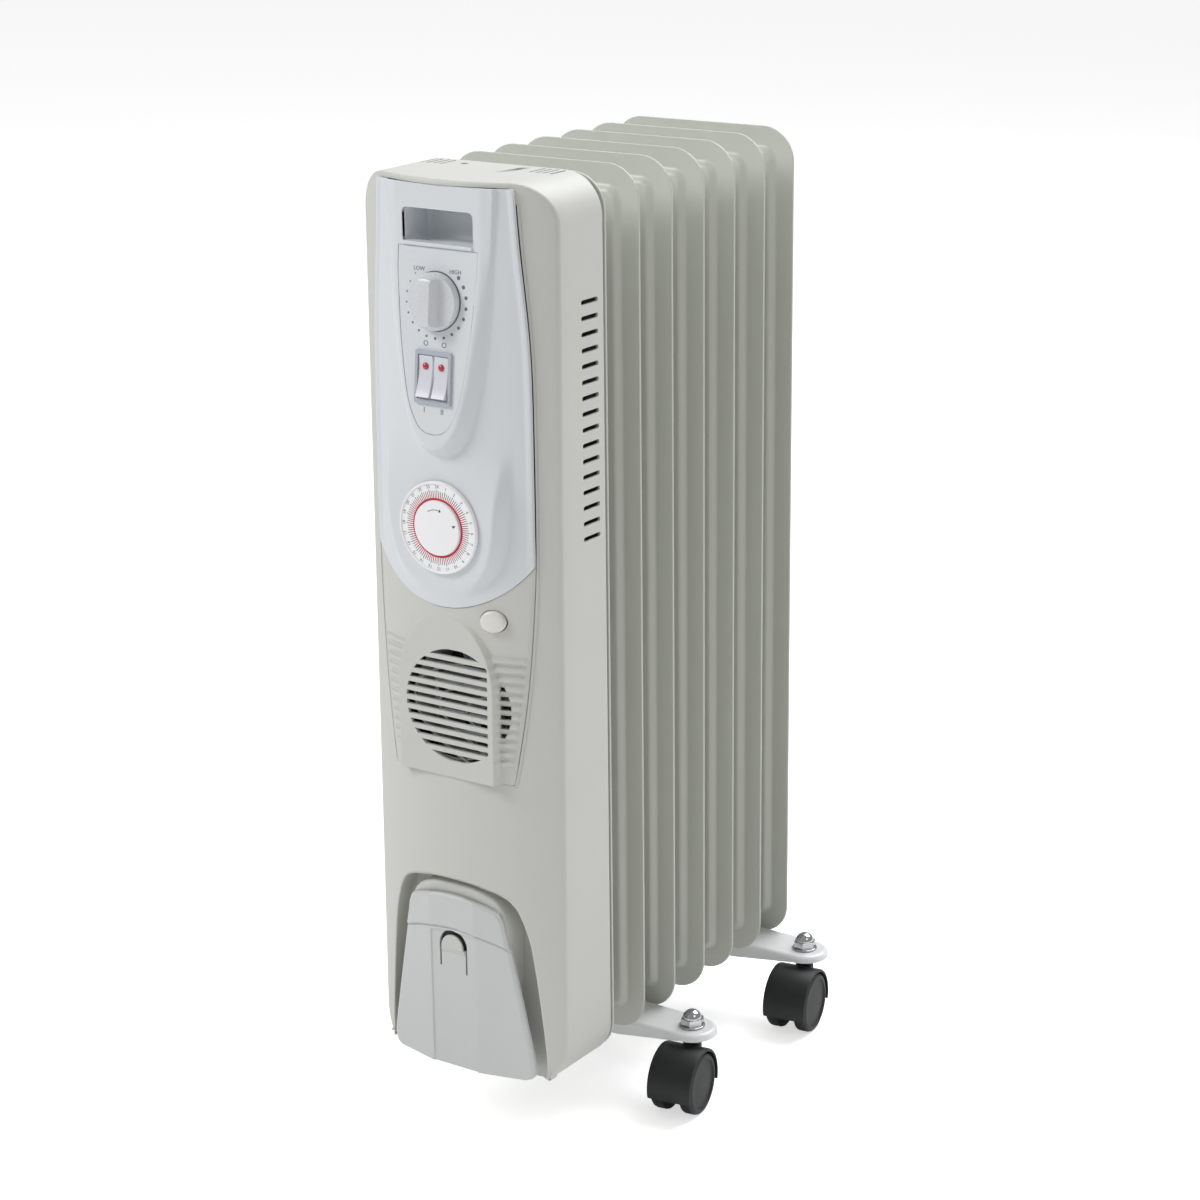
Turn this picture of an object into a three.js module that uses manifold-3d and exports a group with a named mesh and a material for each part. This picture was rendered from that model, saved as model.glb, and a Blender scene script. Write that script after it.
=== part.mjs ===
// Oil filled radiator heater: a stack of pressed steel fins on two cross feet with four swivel
// casters, and a bowed casing in front that holds the controls, a fan outlet and the cord store.
// Millimetres. X is the width, -Y is the control side, the fins stack towards +Y, +Z is up.
// Heights are written from the bottom edge of the fins, and the whole is set on the floor at the end.
import * as THREE from "three";
import { mergeVertices } from "three/addons/utils/BufferGeometryUtils.js";
import Module from "manifold-3d";

const wasm = await Module();
wasm.setup();

// ---- Driving dimensions -------------------------------------------------------------------
const seat = 0.3; // gap left where two separate pieces touch
const running = 0.4; // radial clearance of a turning or sliding fit

// Fins
const finCount = 7;
const finWidth = 143;
const finHeight = 580;
const finPitch = 37.5;
const finCornerR = 23;
const finRimThickness = 1.6;
const finPressDepth = 3.8; // height of the oil channels above the middle plane
const finPressInset = 13; // flat rim left around the pressed area
const finPressCornerR = 14;
const finPressSlope = 4; // width of the sloping side of a pressed channel
const finWall = 0.9;
const finChannelWidth = 24;
const finCrossHeight = 62; // height of the pressed bands that hold the two headers
const finWebCorner = 6; // corners of the flat webs between the channels
const headerInset = 45; // header centre from the top or bottom edge of a fin
const headerR = 19;
const headerBoreR = 11.5;
const headerCapDepth = 8; // how far the closed ends stand out of the last fin

// Casing
const casingMargin = 1.2; // the casing is this much larger than the fins all round
const casingTop = finHeight + casingMargin; // the front's fittings are placed down from here
const casingCornerR = 26;
const casingWall = 2.4;
const casingRear = -4.4;
const frontDepth = 74.6; // middle of the front face to the first fin, at the top
const frontLean = 0.009; // the front face comes forward by this much per mm towards the floor
const frontBow = 24; // how far the middle of the front stands before its side creases
const backPlateThickness = 1.2;
const louvreCount = 16;
const louvrePitch = 9.9;
const louvreLength = 18;
const louvreHeight = 2.8;
const louvreFirst = casingTop - 75.2;
const louvreFromRear = 16;
const ventPitch = 6;
const ventCount = 3;
const ventFirst = 34;
const ventLength = 19;
const ventWidth = 2;

// Upper front shield, with its control tongue and timer platform
const shieldProud = 1.5;
const shieldWall = 2.6;
const shieldTopGap = 2.8; // casing rim left above the shield
const shieldTopHalf = 50.5;
const shieldHipHalf = 59;
const shieldHipHeight = casingTop - 234.2;
const shieldSag = 30; // depth of the round lower edge
const tongueHalf = 31;
const tongueBottom = casingTop - 162.2;
const tongueFace = -73.6;
const tongueKnee = casingTop - 40.2; // below this height the tongue leans forward
const tongueLean = 0.093;
const tongueSlope = 8;
const timerPadHalf = 39;
const timerPadBottom = casingTop - 257.2;
const timerPadTop = casingTop - 156.2;
const timerPadFace = -79;
const handleHalf = 26.3;
const handleHeight = 22;
const handleCentre = casingTop - 29.4;
const handleDepth = 27;
const cupWall = 2.2;

// Control plate, knob, rockers
const plateThickness = 1.2;
const plateHalf = 28;
const plateTop = casingTop - 42.2;
const plateBottom = casingTop - 153.2;
const knobHeight = casingTop - 73.2;
const knobR = 17.6;
const knobDepth = 13;
const knobStemR = 3.2;
const switchHeight = casingTop - 119.2;
const bezelHalf = 13.4;
const bezelHalfHeight = 16.2;
const bezelProud = 1.4;
const switchDepth = 20;
const rockerWidth = 10.6;
const rockerHalfHeight = 12.6;
const rockerThrow = 7; // degrees each way from the middle
const lampR = 2.3;

// Timer
const timerHeight = casingTop - 213.2;
const timerDialR = 29.3;
const timerDialThickness = 1.8;
const timerCentreR = 17.3;
const timerCentreProud = 2.2;
const timerHubR = 5;
const timerBodyR = 26;
const timerBodyDepth = 30;

// Push button beside the fan outlet
const buttonAcross = 34.7;
const buttonHeight = casingTop - 269.7;
const buttonR = 7.6;
const buttonProud = 3.4;
const buttonTravel = 2;

// Fan outlet
const fanHeight = casingTop - 328.2;
const fanAcross = 6; // the outlet stands off the middle by this much
const fanPanelBottom = casingTop - 375.7;
const fanPanelBottomHalf = 45.7;
const fanPanelProud = 1;
const fanPanelWall = 2.6;
const fanOpeningR = 36.5;
const fanSlatPitch = 6.1;
const fanSlatThickness = 3;
const fanSlatCount = 11;
const fanRaisedHalf = 37;
const fanRaisedTop = casingTop - 270.2;
const fanRaisedProud = 2.2;
const fanDuctR = fanOpeningR - 0.5;
const fanDuctWall = 1.6;
const fanDuctFront = -66;
const fanDuctDepth = 30;
const fanBladeCount = 7;
const fanHubR = 10;

// Cord store
const archHalf = 61;
const archTop = 136;
const archDepthY = -52; // the floor of the recess
const archWall = 2.2;
const neckHalf = 38;
const neckTop = 131;
const neckBottom = 6;
const coverTop = 124;
const coverBottom = 4;
const coverTopHalf = 38;
const coverBottomHalf = 55.5;
const coverFace = -79.4;
const coverFlatHalf = 17.5;
const coverSetBack = 9; // how far the side edges of the cover fall back
const coverThickness = 2.6;
const clipHalf = 10;
const clipTop = 97;
const clipSlotLength = 15;
const bushBoreR = 4;
const bushPlace = { x: -47, z: 26, r: 7 };

// Feet and casters
const footTop = 4; // top face above the bottom edge of the fins, between two fins
const footThickness = 2.5;
const footPivot = finWidth / 2 + 25.5; // caster pivot from the middle
const footFlangeDepth = 9.5;
const footFlangeFull = footPivot - 49;
const footFlangeEnd = footPivot - 13;
const boltR = 3;
const wheelR = 21;
const wheelInner = 5.9;
const wheelOuter = 15.4;
const wheelTrail = 16;
const casterToe = 8; // degrees that a caster is turned outwards as it stands
const hoodGap = 1;
const hoodWall = 2;
const casterDrop = 2 * wheelR + hoodGap + hoodWall + 5; // floor below the bottom edge of the fins
const stemR = 3;
const stemCollarR = 5.2;
const axleR = 3;
const nutAcross = 8;
const nutDomeR = 6.4;

// ---- Sizes worked out from those ------------------------------------------------------------
const casingHalf = finWidth / 2 + casingMargin;
const casingBottom = -casingMargin;
const bowR = (casingHalf ** 2 + frontBow ** 2) / (2 * frontBow);
const gapY = (k) => (k + 0.5) * finPitch; // middle of the gap behind fin k
const lastFin = finCount - 1;
const headerLow = headerInset;
const headerHigh = finHeight - headerInset;
const leanAngle = Math.atan(tongueLean);
const wheelAxleZ = wheelR - casterDrop;
const frontAt = (x, z) => -frontDepth - frontLean * (casingTop - z) + bowR - Math.sqrt(bowR ** 2 - x ** 2);
const tongueAt = (z) => tongueFace - tongueLean * (tongueKnee - z);

// ---- Solids ---------------------------------------------------------------------------------
function toSolid(geometry) {
  const bare = geometry.clone();
  bare.deleteAttribute("normal");
  bare.deleteAttribute("uv");
  const merged = mergeVertices(bare, 1e-4);
  const vertProperties = new Float32Array(merged.attributes.position.array);
  const triVerts = new Uint32Array(merged.index.array);
  return new wasm.Manifold(new wasm.Mesh({ numProp: 3, vertProperties, triVerts }));
}

function toGeometry(solid) {
  const mesh = solid.getMesh();
  const geometry = new THREE.BufferGeometry();
  geometry.setAttribute("position", new THREE.BufferAttribute(new Float32Array(mesh.vertProperties), 3));
  geometry.setIndex(new THREE.BufferAttribute(new Uint32Array(mesh.triVerts), 1));
  geometry.computeVertexNormals();
  return geometry;
}

function join(...pieces) {
  return toGeometry(pieces.map(toSolid).reduce((whole, piece) => whole.add(piece)));
}

function cut(base, ...tools) {
  return toGeometry(tools.map(toSolid).reduce((whole, tool) => whole.subtract(tool), toSolid(base)));
}

function common(...pieces) {
  return toGeometry(pieces.map(toSolid).reduce((whole, piece) => whole.intersect(piece)));
}

// ---- Basic shapes ---------------------------------------------------------------------------
function block(x0, x1, y0, y1, z0, z1) {
  const geometry = new THREE.BoxGeometry(x1 - x0, y1 - y0, z1 - z0);
  return geometry.translate((x0 + x1) / 2, (y0 + y1) / 2, (z0 + z1) / 2);
}

function rodX(r, x0, x1, y, z, sides = 20) {
  const geometry = new THREE.CylinderGeometry(r, r, x1 - x0, sides).rotateZ(-Math.PI / 2);
  return geometry.translate((x0 + x1) / 2, y, z);
}

function rodY(r, x, y0, y1, z, sides = 20) {
  return new THREE.CylinderGeometry(r, r, y1 - y0, sides).translate(x, (y0 + y1) / 2, z);
}

function rodZ(r, x, y, z0, z1, sides = 20) {
  const geometry = new THREE.CylinderGeometry(r, r, z1 - z0, sides).rotateX(Math.PI / 2);
  return geometry.translate(x, y, (z0 + z1) / 2);
}

// An outline drawn in X and Z, made solid from y1 forward to y0.
function panel(shape, y0, y1, curveSegments = 6, bevel = {}) {
  const options = { depth: y1 - y0, bevelEnabled: false, curveSegments, ...bevel };
  return new THREE.ExtrudeGeometry(shape, options).rotateX(Math.PI / 2).translate(0, y1, 0);
}

// An outline drawn in X and Y, made solid from z0 up to z1.
function column(shape, z0, z1, curveSegments = 12) {
  const options = { depth: z1 - z0, bevelEnabled: false, curveSegments };
  return new THREE.ExtrudeGeometry(shape, options).translate(0, 0, z0);
}

function roundedRectangle(x0, x1, z0, z1, r) {
  const shape = new THREE.Shape();
  shape.moveTo(x1 - r, z0);
  shape.absarc(x1 - r, z0 + r, r, -Math.PI / 2, 0, false);
  shape.absarc(x1 - r, z1 - r, r, 0, Math.PI / 2, false);
  shape.absarc(x0 + r, z1 - r, r, Math.PI / 2, Math.PI, false);
  shape.absarc(x0 + r, z0 + r, r, Math.PI, 1.5 * Math.PI, false);
  return shape;
}

// A rectangle whose corners are cut off straight.
function cornered(x0, x1, z0, z1, c) {
  const bottom = [[x0 + c, z0], [x1 - c, z0], [x1, z0 + c]];
  const top = [[x1, z1 - c], [x1 - c, z1], [x0 + c, z1], [x0, z1 - c], [x0, z0 + c]];
  return new THREE.Path(polyline(...bottom, ...top));
}

// A symmetrical outline from the points of its right half, listed from bottom to top.
function mirrored(rightHalf) {
  const leftHalf = rightHalf.filter((point) => point.x > 0).reverse();
  return new THREE.Shape([...rightHalf, ...leftHalf.map((point) => new THREE.Vector2(-point.x, point.y))]);
}

function polyline(...pairs) {
  return pairs.map(([x, z]) => new THREE.Vector2(x, z));
}

function spline(divisions, ...pairs) {
  return new THREE.SplineCurve(polyline(...pairs)).getPoints(divisions);
}

const assembly = new THREE.Group();

function add(parent, name, geometry, material) {
  const mesh = new THREE.Mesh(geometry, new THREE.MeshStandardMaterial(material));
  mesh.name = name;
  parent.add(mesh);
  return mesh;
}

const steelPaint = { color: 0xc9cac3, roughness: 0.42, metalness: 0.0 };
const casingPlastic = { color: 0xcdcdc7, roughness: 0.5, metalness: 0.0 };
const shieldPlastic = { color: 0xdde0e3, roughness: 0.4, metalness: 0.0 };
const creamPlastic = { color: 0xe6e5dc, roughness: 0.4, metalness: 0.0 };
const whitePlastic = { color: 0xf2f2f0, roughness: 0.35, metalness: 0.0 };
const redLens = { color: 0xc8201c, roughness: 0.2, metalness: 0.0 };
const darkPlastic = { color: 0x3c4146, roughness: 0.6, metalness: 0.0 };
const blackNylon = { color: 0x17181a, roughness: 0.5, metalness: 0.0 };
const whitePaint = { color: 0xe9eaea, roughness: 0.35, metalness: 0.0 };
const zincSteel = { color: 0xb9bcc0, roughness: 0.35, metalness: 1.0 };
const chrome = { color: 0xd8dade, roughness: 0.12, metalness: 1.0 };
const copper = { color: 0xb87450, roughness: 0.35, metalness: 1.0 };

// ---- Fins -----------------------------------------------------------------------------------
// The pressed area: two bands across for the headers, joined by three upright oil channels.
function pressedOutline() {
  const half = finWidth / 2 - finPressInset;
  const outline = roundedRectangle(-half, half, finPressInset, finHeight - finPressInset, finPressCornerR);
  const webWidth = (2 * half - 3 * finChannelWidth) / 2;
  for (const side of [-1, 1]) {
    const centre = (side * (finChannelWidth + webWidth)) / 2;
    const low = finPressInset + finCrossHeight;
    outline.holes.push(cornered(centre - webWidth / 2, centre + webWidth / 2, low, finHeight - low, finWebCorner));
  }
  return outline;
}

function pressing(wall) {
  const slope = finPressDepth - finRimThickness / 2;
  const bevel = {
    bevelEnabled: true,
    bevelThickness: slope,
    bevelSize: finPressSlope,
    bevelOffset: -finPressSlope - wall,
    bevelSegments: 1,
  };
  const flat = finRimThickness - 2 * wall;
  const raised = panel(pressedOutline(), -finPressDepth, -finPressDepth + Math.max(flat, 0.2), 1, bevel);
  raised.computeBoundingBox();
  const middle = (raised.boundingBox.min.y + raised.boundingBox.max.y) / 2;
  raised.translate(0, -middle, 0);
  const depth = raised.boundingBox.max.y - raised.boundingBox.min.y;
  return raised.scale(1, (2 * (finPressDepth - wall)) / depth, 1);
}

function fin(k) {
  const halfGap = (finPitch - seat) / 2;
  const front = k === 0 ? -finPressDepth - seat : -halfGap;
  const back = k === lastFin ? headerCapDepth : halfGap;
  const outline = roundedRectangle(-finWidth / 2, finWidth / 2, 0, finHeight, finCornerR);
  const rim = panel(outline, -finRimThickness / 2, finRimThickness / 2, 2);
  const bosses = [headerLow, headerHigh].map((z) => rodY(headerR, 0, front, back, z, 12));
  const boreBack = k === lastFin ? 0 : back + 1;
  const lowBore = rodY(headerBoreR, 0, front - 1, boreBack, headerLow, 12);
  const highBore = rodY(headerBoreR, 0, k === 0 ? 0 : front - 1, boreBack, headerHigh, 12);
  return cut(join(rim, pressing(0), ...bosses), pressing(finWall), lowBore, highBore);
}

const finStack = new THREE.Group();
assembly.add(finStack);
for (let k = 0; k < finCount; k += 1) {
  add(finStack, `fin_${k + 1}`, fin(k), steelPaint).position.y = k * finPitch;
}

// ---- Heating element ------------------------------------------------------------------------
// A hairpin tube on a screwed flange, which reaches through the lower header of nearly every fin.
function heatingElement() {
  const tubeR = 3.6;
  const half = 5.5;
  const flangeBack = -finPressDepth - 2 * seat;
  const flangeDepth = 6;
  const terminalLength = 14;
  const reach = (lastFin - 0.7) * finPitch;
  const start = flangeBack - flangeDepth - terminalLength;
  const bend = [];
  for (let i = 0; i <= 6; i += 1) {
    const angle = (i / 6) * Math.PI;
    bend.push(new THREE.Vector3(half * Math.cos(angle), reach + half * Math.sin(angle), headerLow));
  }
  const section = new THREE.Shape().absarc(0, 0, tubeR, 0, 2 * Math.PI, false);
  const legs = [-1, 1].map((side) => rodY(tubeR, side * half, start, reach, headerLow, 10));
  const turn = new THREE.CatmullRomCurve3(bend);
  const hairpin = new THREE.ExtrudeGeometry(section, { extrudePath: turn, steps: 8, curveSegments: 5 });
  const flange = rodY(headerR + 3, 0, flangeBack - flangeDepth, flangeBack, headerLow, 6);
  return join(flange, ...legs, hairpin);
}

add(assembly, "heating_element", heatingElement(), zincSteel);

// ---- Casing ---------------------------------------------------------------------------------
// The bowed plan of the casing, set in by a wall.
function planOutline(inset, rear) {
  const half = casingHalf - inset;
  const r = bowR - inset;
  const centreY = -frontDepth + bowR;
  const edge = Math.asin(half / r);
  const shape = new THREE.Shape();
  shape.moveTo(-half, rear);
  shape.lineTo(-half, centreY - r * Math.cos(edge));
  shape.absarc(0, centreY, r, -Math.PI / 2 - edge, -Math.PI / 2 + edge, false);
  shape.lineTo(half, rear);
  return shape;
}

// The casing's outer form, set in by planInset at the front and sides and by edgeInset all round.
function casingForm(planInset, edgeInset, rear) {
  const body = column(planOutline(planInset, rear), casingBottom - 1, casingTop + 1, 6);
  const position = body.attributes.position;
  for (let i = 0; i < position.count; i += 1) {
    if (position.getY(i) < rear - 10) {
      position.setY(i, position.getY(i) - frontLean * (casingTop - position.getZ(i)));
    }
  }
  const half = casingHalf - edgeInset;
  const r = casingCornerR - edgeInset;
  const outline = roundedRectangle(-half, half, casingBottom + edgeInset, casingTop - edgeInset, r);
  return common(body, panel(outline, -frontDepth - 30, rear + 1, 3));
}

function shieldOutline(gap) {
  const half = shieldHipHalf - gap;
  const sagR = (shieldHipHalf ** 2 + shieldSag ** 2) / (2 * shieldSag);
  const arcCentre = shieldHipHeight - shieldSag + sagR;
  const arc = [];
  for (let i = 0; i <= 6; i += 1) {
    const angle = (i / 6) * Math.asin(half / (sagR - gap));
    arc.push([(sagR - gap) * Math.sin(angle), arcCentre - (sagR - gap) * Math.cos(angle)]);
  }
  const top = casingTop - shieldTopGap - gap;
  const side = spline(
    5,
    [half, shieldHipHeight + 6],
    [half - 0.4, shieldHipHeight + 58],
    [half - 1.6, shieldHipHeight + 131],
    [shieldTopHalf + 1.1 - gap, shieldHipHeight + 196],
    [shieldTopHalf - gap, top],
  );
  return mirrored([...polyline(...arc), ...side]);
}

function fanPanelOutline(gap) {
  const top = shieldHipHeight + 4;
  const side = spline(
    5,
    [fanPanelBottomHalf - gap, fanPanelBottom + gap],
    [shieldHipHalf - 6.1 - gap, fanPanelBottom + 49.5],
    [shieldHipHalf - 2.4 - gap, fanPanelBottom + 89.5],
    [shieldHipHalf - 0.7 - gap, fanPanelBottom + 120.5],
    [shieldHipHalf - gap, top],
  );
  return mirrored([...polyline([0, fanPanelBottom + gap]), ...side]);
}

function archOutline(inset) {
  const half = archHalf - inset;
  const side = spline(
    9,
    [half + 2, casingBottom - 2],
    [half - 1, 30],
    [half - 6, 79],
    [half - 10.5, 106],
    [half - 20, 126 - inset * 0.8],
    [half - 40, 134 - inset],
    [0, archTop - inset],
  );
  return mirrored(side);
}

function louvres() {
  const y1 = casingRear - louvreFromRear + louvreLength / 2;
  const y0 = y1 - louvreLength;
  const slots = [];
  for (let i = 0; i < louvreCount; i += 1) {
    const z = louvreFirst - i * louvrePitch;
    slots.push(block(-casingHalf - 5, casingHalf + 5, y0, y1, z - louvreHeight / 2, z + louvreHeight / 2));
  }
  return slots;
}

function topVents() {
  const slots = [];
  for (const side of [-1, 1]) {
    for (let i = 0; i < ventCount; i += 1) {
      const x = side * (ventFirst + i * ventPitch);
      const y1 = casingRear - 4;
      slots.push(block(x - ventWidth / 2, x + ventWidth / 2, y1 - ventLength, y1, casingTop - 20, casingTop + 5));
    }
  }
  return slots;
}

function casing() {
  const far = -frontDepth - 25;
  const archBlock = panel(archOutline(0), far, archDepthY + archWall);
  const inside = cut(casingForm(casingWall, casingWall, casingRear + 8), archBlock);
  const shell = cut(casingForm(0, 0, casingRear), inside);
  const shieldHole = panel(shieldOutline(0), far, casingRear - 34);
  const fanHole = panel(fanPanelOutline(0), far, casingRear - 34);
  const archHollow = panel(archOutline(archWall), far, archDepthY);
  const bushHole = rodY(bushPlace.r, bushPlace.x, archDepthY - 5, archDepthY + 8, bushPlace.z, 14);
  return cut(shell, shieldHole, fanHole, archHollow, bushHole, ...louvres(), ...topVents());
}

function backPlate() {
  const inset = casingWall + running;
  const half = casingHalf - inset;
  const r = casingCornerR - inset;
  const outline = roundedRectangle(-half, half, casingBottom + inset, casingTop - inset, r);
  const back = -finPressDepth - 4 * seat;
  const plate = panel(outline, back - backPlateThickness, back, 3);
  return cut(plate, rodY(headerR + 6, 0, back - 5, back + 5, headerLow, 16));
}

add(assembly, "casing", casing(), casingPlastic);
add(assembly, "back_plate", backPlate(), zincSteel);

// ---- Shield ---------------------------------------------------------------------------------
function tongueOutline(inset) {
  const half = tongueHalf - inset;
  const side = spline(
    10,
    [0, tongueBottom + inset],
    [half * 0.5, tongueBottom + inset + 11],
    [half * 0.76, tongueBottom + 36],
    [half * 0.93, tongueBottom + 73],
    [half, tongueBottom + 101],
  );
  return mirrored([...side, ...polyline([half, tongueKnee])]);
}

function leaned(geometry) {
  geometry.translate(0, -tongueFace, -tongueKnee);
  geometry.rotateX(-leanAngle);
  return geometry.translate(0, tongueFace, tongueKnee);
}

function slopedPanel(shape, face, depth, slope) {
  const bevel = { bevelEnabled: true, bevelThickness: slope, bevelSize: slope, bevelSegments: 1 };
  const raised = panel(shape, face + slope, face + slope + depth, 2, bevel);
  return raised;
}

function timerPadOutline() {
  const half = timerPadHalf;
  const side = spline(
    8,
    [0, timerPadBottom],
    [half * 0.55, timerPadBottom + 6],
    [half * 0.88, timerPadBottom + 24],
    [half, timerPadBottom + 52],
  );
  return mirrored([...side, ...polyline([half, timerPadTop])]);
}

function shield() {
  const skin = casingForm(-shieldProud, -shieldProud, casingRear - 25);
  const tongue = leaned(slopedPanel(tongueOutline(0), tongueFace, 12, tongueSlope));
  const browShape = roundedRectangle(-tongueHalf, tongueHalf, tongueKnee - 4, casingTop + 10, 2);
  const brow = slopedPanel(browShape, tongueFace, 12, tongueSlope);
  const pad = slopedPanel(timerPadOutline(), timerPadFace, 8, 5);
  const inside = casingForm(shieldWall - shieldProud, shieldWall - shieldProud, casingRear + 8);
  const far = -frontDepth - 40;
  const outline = panel(shieldOutline(running), far, casingRear - 36);
  const skinned = cut(common(join(skin, tongue, brow, pad), outline), inside);
  const z0 = handleCentre - handleHeight / 2;
  const z1 = handleCentre + handleHeight / 2;
  const cup = block(
    -handleHalf - cupWall,
    handleHalf + cupWall,
    tongueFace + 2,
    tongueFace + handleDepth + cupWall,
    z0 - cupWall,
    z1 + cupWall,
  );
  const pocketShape = roundedRectangle(-handleHalf, handleHalf, z0, z1, 5);
  const pocket = panel(pocketShape, far, tongueFace + handleDepth, 3);
  const plateBed = panel(plateOutline(-running), tongueFace - 20, tongueFace + plateThickness + seat);
  const knobHole = rodY(knobStemR + 1, 0, -20, 40, 0, 14);
  const timerHole = rodY(timerHubR + 1, 0, timerPadFace - 20, timerPadFace + 30, timerHeight, 16);
  return cut(
    join(skinned, cup),
    pocket,
    leaned(plateBed),
    onTongue(knobHole, knobHeight),
    switchOpening(),
    timerHole,
  );
}

// Moves a shape drawn about the origin to the leaning face at this height.
function onTongue(geometry, z) {
  geometry.rotateX(-leanAngle);
  return geometry.translate(0, tongueAt(z), z);
}

// The hole for the switch housing, a little smaller than its flange.
function switchOpening() {
  const half = bezelHalf - 0.6;
  const tall = bezelHalfHeight - 0.6;
  return onTongue(block(-half, half, -20, 40, -tall, tall), switchHeight);
}

function plateOutline(inset) {
  const half = plateHalf - inset;
  const side = spline(
    10,
    [0, plateBottom + inset],
    [half * 0.5, plateBottom + inset + 9],
    [half * 0.8, plateBottom + 34],
    [half * 0.96, plateBottom + 68],
    [half, plateBottom + 92],
  );
  return mirrored([...side, ...polyline([half, plateTop - inset])]);
}

function controlPlate() {
  const plate = leaned(panel(plateOutline(0), tongueFace, tongueFace + plateThickness));
  const knobHole = onTongue(rodY(knobStemR + running, 0, -20, 40, 0, 14), knobHeight);
  return cut(plate, knobHole, switchOpening());
}

add(assembly, "front_shield", shield(), shieldPlastic);
add(assembly, "control_plate", controlPlate(), shieldPlastic);

// ---- Thermostat -----------------------------------------------------------------------------
// Drawn about the origin with the tongue's face at Y = 0 and the shaft along Y.
const knobStemLength = 9;
const thermostatFront = 6.5;

function knob() {
  const face = -seat;
  const profile = polyline(
    [0, 0],
    [knobR, 0],
    [knobR, knobDepth * 0.35],
    [knobR - 1.6, knobDepth * 0.62],
    [0, knobDepth * 0.62],
  );
  const body = new THREE.LatheGeometry(profile, 28).rotateX(Math.PI).translate(0, face, 0);
  const grip = block(-3.6, 3.6, face - knobDepth, face - 2, -knobR + 1.2, knobR - 1.2);
  const stem = rodY(knobStemR, 0, face - 2, thermostatFront + knobStemLength, 0, 14);
  return join(body, grip, stem);
}

function thermostat() {
  const body = block(-15, 15, thermostatFront, thermostatFront + 20, -16, 16);
  const lugs = block(-19, 19, thermostatFront, thermostatFront + 1.5, -6, 6);
  const bore = rodY(
    knobStemR + running,
    0,
    thermostatFront - 1,
    thermostatFront + knobStemLength + 1,
    0,
    14,
  );
  return cut(join(body, lugs), bore);
}

const knobGroup = new THREE.Group();
knobGroup.position.set(0, tongueAt(knobHeight), knobHeight);
knobGroup.rotation.x = -leanAngle;
assembly.add(knobGroup);
add(knobGroup, "thermostat_knob", knob(), shieldPlastic);
add(knobGroup, "thermostat", thermostat(), darkPlastic);

// ---- Rocker switches ------------------------------------------------------------------------
// Drawn about the origin with the tongue's face at Y = 0 and the rockers' pivot along X.
const rockerPivotY = 1.2;
const rockerSpacing = rockerWidth + 1.1;

function switchHousing() {
  const flange = block(
    -bezelHalf,
    bezelHalf,
    -bezelProud - seat,
    -seat,
    -bezelHalfHeight,
    bezelHalfHeight,
  );
  const gap = 0.9;
  const body = block(
    -bezelHalf + gap,
    bezelHalf - gap,
    -1,
    switchDepth,
    -bezelHalfHeight + gap,
    bezelHalfHeight - gap,
  );
  const wells = [-1, 1].map((side) => {
    const x = (side * rockerSpacing) / 2;
    const half = rockerWidth / 2 + 0.35;
    const tall = rockerHalfHeight + 0.9;
    return block(x - half, x + half, -10, rockerPivotY + 7.2, -tall, tall);
  });
  const pins = rodX(1.2, -rockerSpacing, rockerSpacing, rockerPivotY, 0, 10);
  return join(cut(join(flange, body), ...wells), pins);
}

function rocker() {
  const tall = rockerHalfHeight;
  const outline = new THREE.Shape(
    polyline([-tall, -3.6], [0, -2], [tall, -3.6], [tall - 0.5, 3.4], [4, 6.4], [-4, 6.4], [-tall + 0.5, 3.4]),
  );
  const solid = new THREE.ExtrudeGeometry(outline, { depth: rockerWidth, bevelEnabled: false });
  solid.translate(0, 0, -rockerWidth / 2);
  // The outline's x runs up the rocker and its y into the switch.
  solid.applyMatrix4(new THREE.Matrix4().makeBasis(axisZ, axisY, axisX.clone().negate()));
  const pinHole = rodX(1.2 + running, -rockerWidth, rockerWidth, 0, 0, 10);
  const lampSeat = rodY(lampR + seat, 0, -9, -0.8, lampHeight, 12);
  return cut(solid, pinHole, lampSeat);
}

const axisX = new THREE.Vector3(1, 0, 0);
const axisY = new THREE.Vector3(0, 1, 0);
const axisZ = new THREE.Vector3(0, 0, 1);
const lampHeight = 6.6;

const switchGroup = new THREE.Group();
switchGroup.position.set(0, tongueAt(switchHeight), switchHeight);
switchGroup.rotation.x = -leanAngle;
assembly.add(switchGroup);
add(switchGroup, "switch_housing", switchHousing(), shieldPlastic);
for (const side of [-1, 1]) {
  const number = side < 0 ? 1 : 2;
  const pivot = new THREE.Group();
  pivot.position.set((side * rockerSpacing) / 2, rockerPivotY, 0);
  pivot.rotation.x = -THREE.MathUtils.degToRad(rockerThrow);
  switchGroup.add(pivot);
  add(pivot, `rocker_${number}`, rocker(), shieldPlastic);
  const lens = rodY(lampR, 0, -4.1, -0.8 - seat, lampHeight, 12);
  add(pivot, `rocker_lamp_${number}`, lens, redLens);
}

// ---- Timer ----------------------------------------------------------------------------------
const dialBack = timerPadFace - seat;
const dialFront = dialBack - timerDialThickness;

function timerDial() {
  const plate = rodY(timerDialR, 0, dialFront, dialBack, timerHeight, 32);
  const raisedRim = cut(
    rodY(timerDialR, 0, dialFront - 1, dialBack, timerHeight, 32),
    rodY(timerDialR - 1.2, 0, dialFront - 5, dialBack + 5, timerHeight, 32),
  );
  const hubHole = rodY(timerHubR + running, 0, dialFront - 5, dialBack + 5, timerHeight, 16);
  return cut(join(plate, raisedRim), hubHole);
}

function timerCentre() {
  const back = dialFront - seat;
  const disc = rodY(timerCentreR, 0, back - timerCentreProud, back, timerHeight, 32);
  const hub = rodY(timerHubR, 0, back - 1, timerBodyFront - seat, timerHeight, 16);
  return join(disc, hub);
}

const timerBodyFront = frontAt(timerBodyR, timerHeight) + shieldWall - shieldProud + 1;

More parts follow.
